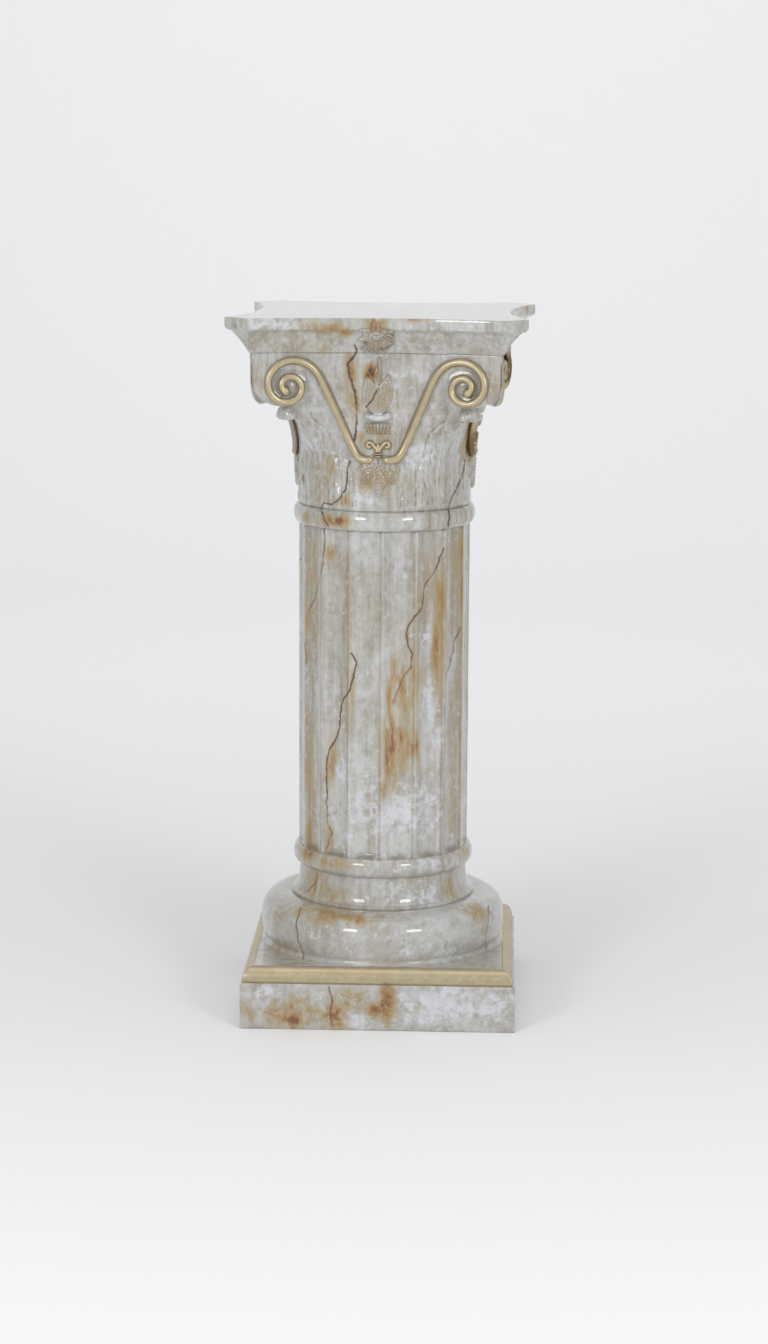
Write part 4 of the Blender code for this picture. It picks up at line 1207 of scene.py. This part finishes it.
def paint_pieces(marble, gilded):
    """Give the pieces their veins, stains and washes, some of which also paint shade, as layers on their
    points.
    """
    tree = surface_tree(marble)
    veins = lay_veins(tree)
    stains = {name: lay_stains(tree, spots) for name, spots in STAINS.items()}
    for piece in marble + gilded:
        mesh = piece.data
        spots = np.empty(len(mesh.vertices) * 3)
        mesh.vertices.foreach_get("co", spots)
        spots = spots.reshape(-1, 3)
        for name, laid in stains.items():
            set_layer(mesh, name, stain_layer(spots, laid))
        if piece in marble:
            for name, values in zip(("vein", "vein_side", "vein_half"), vein_layers(spots, veins)):
                set_layer(mesh, name, values)
        for name in ("painted_shade", "painted_highlight", "tan"):
            if not mesh.attributes.get(name):
                set_layer(mesh, name, np.zeros(len(spots)))


# Materials


def add(tree, kind, inputs=None, out=0, **settings):
    """Add a node with its settings, socket values and links, and return one of its outputs.
    A value may be a socket to link, a plain value or a hex colour."""
    node = tree.nodes.new("ShaderNode" + kind)
    for key, value in settings.items():
        setattr(node, key, value)
    for key, value in (inputs or {}).items():
        if isinstance(value, bpy.types.NodeSocket):
            tree.links.new(value, node.inputs[key])
        else:
            node.inputs[key].default_value = linear(value) if isinstance(value, str) else value
    return node.outputs[out]


def new_material(name):
    material = bpy.data.materials.new(name)
    material.use_nodes = True
    tree = material.node_tree
    return material, tree, tree.nodes["Principled BSDF"]


def broken_patterns(tree, lumps, layers, masks):
    """The patterns that break up the paint, by name. Each of the lumps is a noise: name, place, size
    in mm, detail, roughness, distortion. Layers were laid on the points. A mask is name, start and
    the patterns added to it, each times its weight."""
    found = {name: add(tree, "Attribute", out="Fac", attribute_name=name) for name in layers}
    for name, place, size, detail, roughness, distortion in lumps:
        found[name] = add(tree, "TexNoise", {
            "Vector": place, "Scale": 1 / (2 * size * MM), "Detail": detail,
            "Roughness": roughness, "Distortion": distortion})
    for name, start, parts in masks:
        total = start
        for part, weight in parts:
            total = add(tree, "Math", {0: found[part], 1: weight, 2: total}, operation="MULTIPLY_ADD")
        found[name] = total
    return found


def coats_of_paint(tree, ground, coats):
    """Coats over a ground colour; each is mask, where it starts, where it is full, cover, colour."""
    colour = ground
    for mask, start, full, cover, over in coats:
        share = add(tree, "MapRange", {"Value": mask, "From Min": start, "From Max": full,
                                       "To Min": 0.0, "To Max": cover}, interpolation_type="SMOOTHSTEP")
        colour = add(tree, "Mix", {0: share, 6: colour, 7: over}, out=2, data_type="RGBA")
    return colour


def faux_marble(name, shift, combed, run_length):
    """Plaster composite sponged as grey marble: clouded grey and lilac-white, brown washes that also
    paint the shade down the sides, rusty stains that have run and that also paint shade on the
    capital's right side, fine brown veins, olive painted shade in the hollows and creases, a pale
    painted highlight on raised edges and arrises, under a clear gloss lacquer that shines sharply.
    Combed is the strength of the upright combing, and run_length how many times longer than wide
    the stains' runs are."""
    material, tree, shader = new_material(name)
    coordinates = add(tree, "TexCoord", out="Object")
    place = add(tree, "Mapping", {"Vector": coordinates, "Location": shift})
    tall = add(tree, "Mapping", {"Vector": place, "Scale": (1.0, 1.0, 0.09)})
    runs = add(tree, "Mapping", {"Vector": place, "Scale": (1.0, 1.0, 1 / run_length)})
    found = broken_patterns(tree, (
        ("clouds", place, 40, 5.0, 0.58, 0.8),
        ("drifts", place, 14, 5.0, 0.62, 0.6),
        ("sponge", place, 4.2, 5.0, 0.70, 0.2),
        ("flecks", place, 1.7, 3.0, 0.65, 0.0),
        ("comb", tall, 2.6, 4.0, 0.60, 0.3),
        ("scratch", tall, 0.9, 3.0, 0.60, 0.5),
        ("bands", tall, 9.0, 4.0, 0.55, 0.3),
        ("run", runs, 6.0, 5.0, 0.66, 0.5),
        ("blotch", runs, 17, 4.0, 0.60, 0.8),
    ), ("lilac", "rust_and_shade", "warm_and_shade", "painted_shade", "painted_highlight", "tan", "vein", "vein_side", "vein_half"), (
        ("rust_and_shade_breaks", -2.28, (("run", 3.2), ("blotch", 1.8), ("sponge", 1.2))),
        ("brown_wash_and_shade", -1.45, (("warm_and_shade", 0.9), ("run", 1.5), ("bands", 1.5))),
        ("lilac_white", -1.85, (("lilac", 0.75), ("drifts", 1.8), ("sponge", 1.8))),
        ("tan_brush", -2.05, (("tan", 0.95), ("sponge", 1.3), ("scratch", 2.4))),
        ("olive_painted_shade", -0.25, (("painted_shade", 1.0), ("drifts", 0.5))),
        ("shaken_side", -0.40, (("vein_side", 1.0), ("sponge", 0.8))),
        ("vein_width", 0.24, (("run", 1.3),)),
        ("vein_halo", 2.55, (("vein", -0.30), ("sponge", -2.0), ("run", -1.5))),
    ))
    rust_and_shade = add(tree, "Math", {0: found["rust_and_shade"], 1: found["rust_and_shade_breaks"]}, operation="MULTIPLY")
    across = add(tree, "Math", {0: found["shaken_side"]}, operation="ABSOLUTE")
    wide = add(tree, "Math", {0: found["vein_width"], 1: found["vein_half"]}, operation="MULTIPLY")
    across = add(tree, "Math", {0: across, 1: wide}, operation="DIVIDE")
    faded = add(tree, "MapRange", {"Value": found["blotch"], "From Min": 0.38, "From Max": 0.55,
                                   "To Min": 0.35, "To Max": 1.0})
    near = add(tree, "MapRange", {"Value": found["vein"], "From Min": 2.6, "From Max": 1.5})
    line = add(tree, "MapRange", {"Value": across, "From Min": 1.9, "From Max": 0.9})
    line = add(tree, "Math", {0: line, 1: near}, operation="MULTIPLY")
    line = add(tree, "Math", {0: line, 1: faded}, operation="MULTIPLY")
    colour = coats_of_paint(tree, "#A9A69D", (
        (found["clouds"], 0.37, 0.62, 1.0, "#BCBCBA"),
        (found["drifts"], 0.45, 0.66, 0.55, "#9B978A"),
        (found["bands"], 0.46, 0.66, 1.3 * combed, "#8F8875"),
        (found["bands"], 0.50, 0.34, 1.1 * combed, "#C4C4C1"),
        # Brown washes, which also paint the shade down the sides.
        (found["brown_wash_and_shade"], 0.12, 0.75, 0.80, "#9C8C72"),
        (found["sponge"], 0.51, 0.70, 0.50, "#CDCDD2"),
        (found["sponge"], 0.49, 0.30, 0.45, "#88837A"),
        (found["comb"], 0.48, 0.66, combed, "#CFCDC7"),
        (found["comb"], 0.48, 0.32, combed, "#837B6D"),
        (found["lilac_white"], 0.22, 0.85, 0.75, "#D5D7DF"),
        (found["flecks"], 0.59, 0.72, 0.30, "#DFDFE3"),
        # Rusty stains, which also paint the shade on the capital's right side.
        (rust_and_shade, 0.05, 0.42, 0.60, "#A28F5C"),
        (rust_and_shade, 0.28, 0.72, 0.78, "#9C7232"),
        (rust_and_shade, 0.62, 1.00, 0.80, "#6D3B18"),
        (found["tan_brush"], 0.15, 0.85, 0.38, "#8A7354"),
        # A pale painted highlight on the arrises and on the raised parts of the carving.
        (found["painted_highlight"], 0.20, 0.90, 0.22, "#D0CBBE"),
        # Olive painted shade in the hollows, creases and undersides, and beside the rods.
        (found["olive_painted_shade"], 0.15, 0.90, 0.75, "#6B5C45"),
        (found["vein_halo"], 0.10, 0.95, 0.66, "#8F6B40"),
        (line, 0.05, 0.75, 0.92, "#4A301E")))
    tree.links.new(colour, shader.inputs["Base Color"])
    rough = add(tree, "MapRange", {"Value": found["sponge"], "From Min": 0.3, "From Max": 0.7,
                                   "To Min": 0.34, "To Max": 0.50})
    tree.links.new(rough, shader.inputs["Roughness"])
    shader.inputs["IOR"].default_value = 1.5
    shader.inputs["Coat Weight"].default_value = 1.0
    shader.inputs["Coat Roughness"].default_value = 0.05
    shader.inputs["Coat IOR"].default_value = 1.5
    bump = add(tree, "Bump", {"Height": found["sponge"], "Distance": 0.25 * MM, "Strength": 0.8})
    tree.links.new(bump, shader.inputs["Normal"])
    return material


def gilding(name):
    """Champagne gold paint brushed on plaster: a satin metal with brown painted shade at the feet of
    the rods and knobs, tarnished brown patches that also paint the shade on the capital's right
    side, grey where it has worn off, and a slight streak from the brush."""
    material, tree, shader = new_material(name)
    coordinates = add(tree, "TexCoord", out="Object")
    place = add(tree, "Mapping", {"Vector": coordinates})
    found = broken_patterns(tree, (
        ("streak", place, 2.2, 4.0, 0.65, 0.0),
        ("patches", place, 12, 4.0, 0.60, 0.0),
    ), ("painted_shade", "rust_and_shade", "lilac"), (
        ("brown_painted_shade", -0.20, (("painted_shade", 1.0), ("patches", 0.4))),
        ("tarnish_and_shade", -0.40, (("rust_and_shade", 1.2), ("streak", 0.8))),
    ))
    colour = coats_of_paint(tree, "#B9AA8B", (
        (found["patches"], 0.35, 0.65, 1.0, "#C2B494"),
        (found["streak"], 0.50, 0.72, 0.25, "#DDD2BA"),
        (found["lilac"], 0.45, 0.85, 0.90, "#A3A098"),
        # Tarnished brown patches, which also paint the shade on the capital's right side; then brown
        # painted shade along the feet of the rods and knobs.
        (found["tarnish_and_shade"], 0.35, 0.90, 0.85, "#6E5738"),
        (found["brown_painted_shade"], 0.20, 1.00, 0.80, "#6A5636")))
    tree.links.new(colour, shader.inputs["Base Color"])
    shader.inputs["Metallic"].default_value = 0.80
    rough = add(tree, "MapRange", {"Value": found["streak"], "From Min": 0.3, "From Max": 0.7,
                                   "To Min": 0.30, "To Max": 0.44})
    tree.links.new(rough, shader.inputs["Roughness"])
    bump = add(tree, "Bump", {"Height": found["streak"], "Distance": 0.15 * MM, "Strength": 0.6})
    tree.links.new(bump, shader.inputs["Normal"])
    return material


def plain_floor():
    """Seamless backdrop paper, matt and almost white."""
    material, _, shader = new_material("seamless paper, matt")
    shader.inputs["Base Color"].default_value = linear("#F9F9F9")
    shader.inputs["Roughness"].default_value = 0.9
    shader.inputs["Specular IOR Level"].default_value = 0.2
    return material


# Studio

PAPER_FRONT = -6.0
PAPER_BACK = 4.6
PAPER_BEND = 1.6
PAPER_RISE = 2.4
PAPER_HALF_WIDTH = 7.0
SOFTBOX_SIZE = (0.60, 0.66)
SOFTBOX_DISTANCE = 2.5
SOFTBOX_HEIGHT = 1.17
SOFTBOX_WATTS = 13
COLUMN_MIDDLE = (0.0, 0.0, 0.45)
BACKDROP_MIDDLE = (0.0, 5.0, 2.2)


def add_floor():
    """A pale sheet of paper that runs back along the floor and curves up behind."""
    floor_run = PAPER_BACK - PAPER_BEND - PAPER_FRONT
    curve_run = PAPER_BEND * pi / 2
    total = floor_run + curve_run + PAPER_RISE
    bm = bmesh.new()
    bmesh.ops.create_grid(bm, x_segments=2, y_segments=240, size=1.0)
    for vert in bm.verts:
        travel = (vert.co.y + 1) / 2 * total
        if travel < floor_run:
            place = (PAPER_FRONT + travel, 0.0)
        elif travel < floor_run + curve_run:
            angle = (travel - floor_run) / PAPER_BEND
            place = (PAPER_BACK - PAPER_BEND * (1 - sin(angle)), PAPER_BEND * (1 - cos(angle)))
        else:
            place = (PAPER_BACK, PAPER_BEND + travel - floor_run - curve_run)
        vert.co = Vector((vert.co.x * PAPER_HALF_WIDTH, place[0], place[1]))
    mesh = finished(bm, "paper_floor")
    mesh.shade_smooth()
    mesh.materials.append(plain_floor())
    floor = bpy.data.objects.new("paper_floor", mesh)
    bpy.context.scene.collection.objects.link(floor)


def add_light(name, azimuth, distance, height, size, power, aim=COLUMN_MIDDLE):
    """A soft box; azimuth in degrees from the photograph's view, to the right."""
    data = bpy.data.lights.new(name, "AREA")
    data.shape = "RECTANGLE"
    data.size, data.size_y = size
    data.energy = power
    light = bpy.data.objects.new(name, data)
    angle = radians(azimuth - 90) + CAMERA_TURN
    place = Vector((distance * cos(angle), distance * sin(angle), height))
    facing = (Vector(aim) - place).to_track_quat("-Z", "Y").to_matrix().to_4x4()
    light.matrix_world = Matrix.Translation(place) @ facing
    bpy.context.scene.collection.objects.link(light)


def add_studio():
    world = bpy.data.worlds.new("studio")
    world.use_nodes = True
    background = world.node_tree.nodes["Background"]
    background.inputs["Color"].default_value = linear("#F4F5F7")
    background.inputs["Strength"].default_value = 0.60
    bpy.context.scene.world = world
    for name, azimuth in (("left_softbox", -31), ("right_softbox", 30)):
        add_light(name, azimuth, SOFTBOX_DISTANCE, SOFTBOX_HEIGHT, SOFTBOX_SIZE, SOFTBOX_WATTS)
    add_light("top_softbox", 0, 0.8, 3.2, (2.4, 2.4), 16)
    add_light("backdrop_light", 180, 0.9, 3.0, (5.0, 1.2), 47, BACKDROP_MIDDLE)


# The column


def main():
    add_camera()
    stone_base = faux_marble("plaster composite, sponged marble paint, gloss lacquer, base",
                             (0.3, 0.1, 0.0), 0.0, 1.2)
    stone_shaft = faux_marble("plaster composite, sponged marble paint, gloss lacquer, shaft",
                              (1.3, 0.6, 0.2), 0.24, 4.0)
    stone_capital = faux_marble("plaster composite, sponged marble paint, gloss lacquer, capital",
                                (2.1, 1.4, 0.5), 0.33, 2.0)
    gold = gilding("champagne gold paint, brushed")

    base = add_piece("base_casting", base_mesh(), 0.0)
    base.data.materials.append(stone_base)
    base.data.materials.append(gold)
    gild_moulding(base.data)
    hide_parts("base")

    shaft = add_piece("shaft_casting", shaft_mesh(), SHAFT_TURN)
    shaft.data.materials.append(stone_shaft)
    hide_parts("shaft")

    capital = add_piece("capital_casting", capital_mesh(), CAPITAL_TURN)
    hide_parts("capital")
    corners = joined("corner_horns", [horn_mesh(), bud_mesh()])
    horns = add_piece("corner_horns", corners, CAPITAL_TURN)
    carving = [
        ornament(palmette, 0.030, 0.036, PALMETTE_DROP, face_depth),
        ornament(cup, 0.020, 0.010, CUP_DROP, face_depth),
        ornament(curl, 0.020, 0.012, CURL_DROP, face_depth, 0.0),
        ornament(tulip, 0.026, 0.040, TULIP_DROP, face_depth),
        ornament(rosette, 0.028, 0.023, ROSETTE_DROP, abacus_depth),
    ]
    ornaments = joined("face_carvings", carving)
    carved = add_piece("face_carvings", ornaments, CAPITAL_TURN)
    for piece in (capital, horns, carved):
        piece.data.materials.append(stone_capital)

    winding = joined("gilded_scrolls", [rod_mesh(-1), rod_mesh(1), eye_knob(-1), eye_knob(1)])
    scrolls = add_piece("gilded_scrolls", winding, CAPITAL_TURN)
    stems = joined("gilded_trefoils", [
        ornament(trefoil, 0.018, 0.014, TREFOIL_DROP, face_depth, 0.0, 0.0004)])
    trefoils = add_piece("gilded_trefoils", stems, CAPITAL_TURN)
    for piece in (scrolls, trefoils):
        piece.data.materials.append(gold)

    paint_pieces([base, shaft, capital, horns, carved], [scrolls, trefoils])
    add_floor()
    add_studio()
    bpy.context.scene.view_settings.view_transform = "Standard"


main()
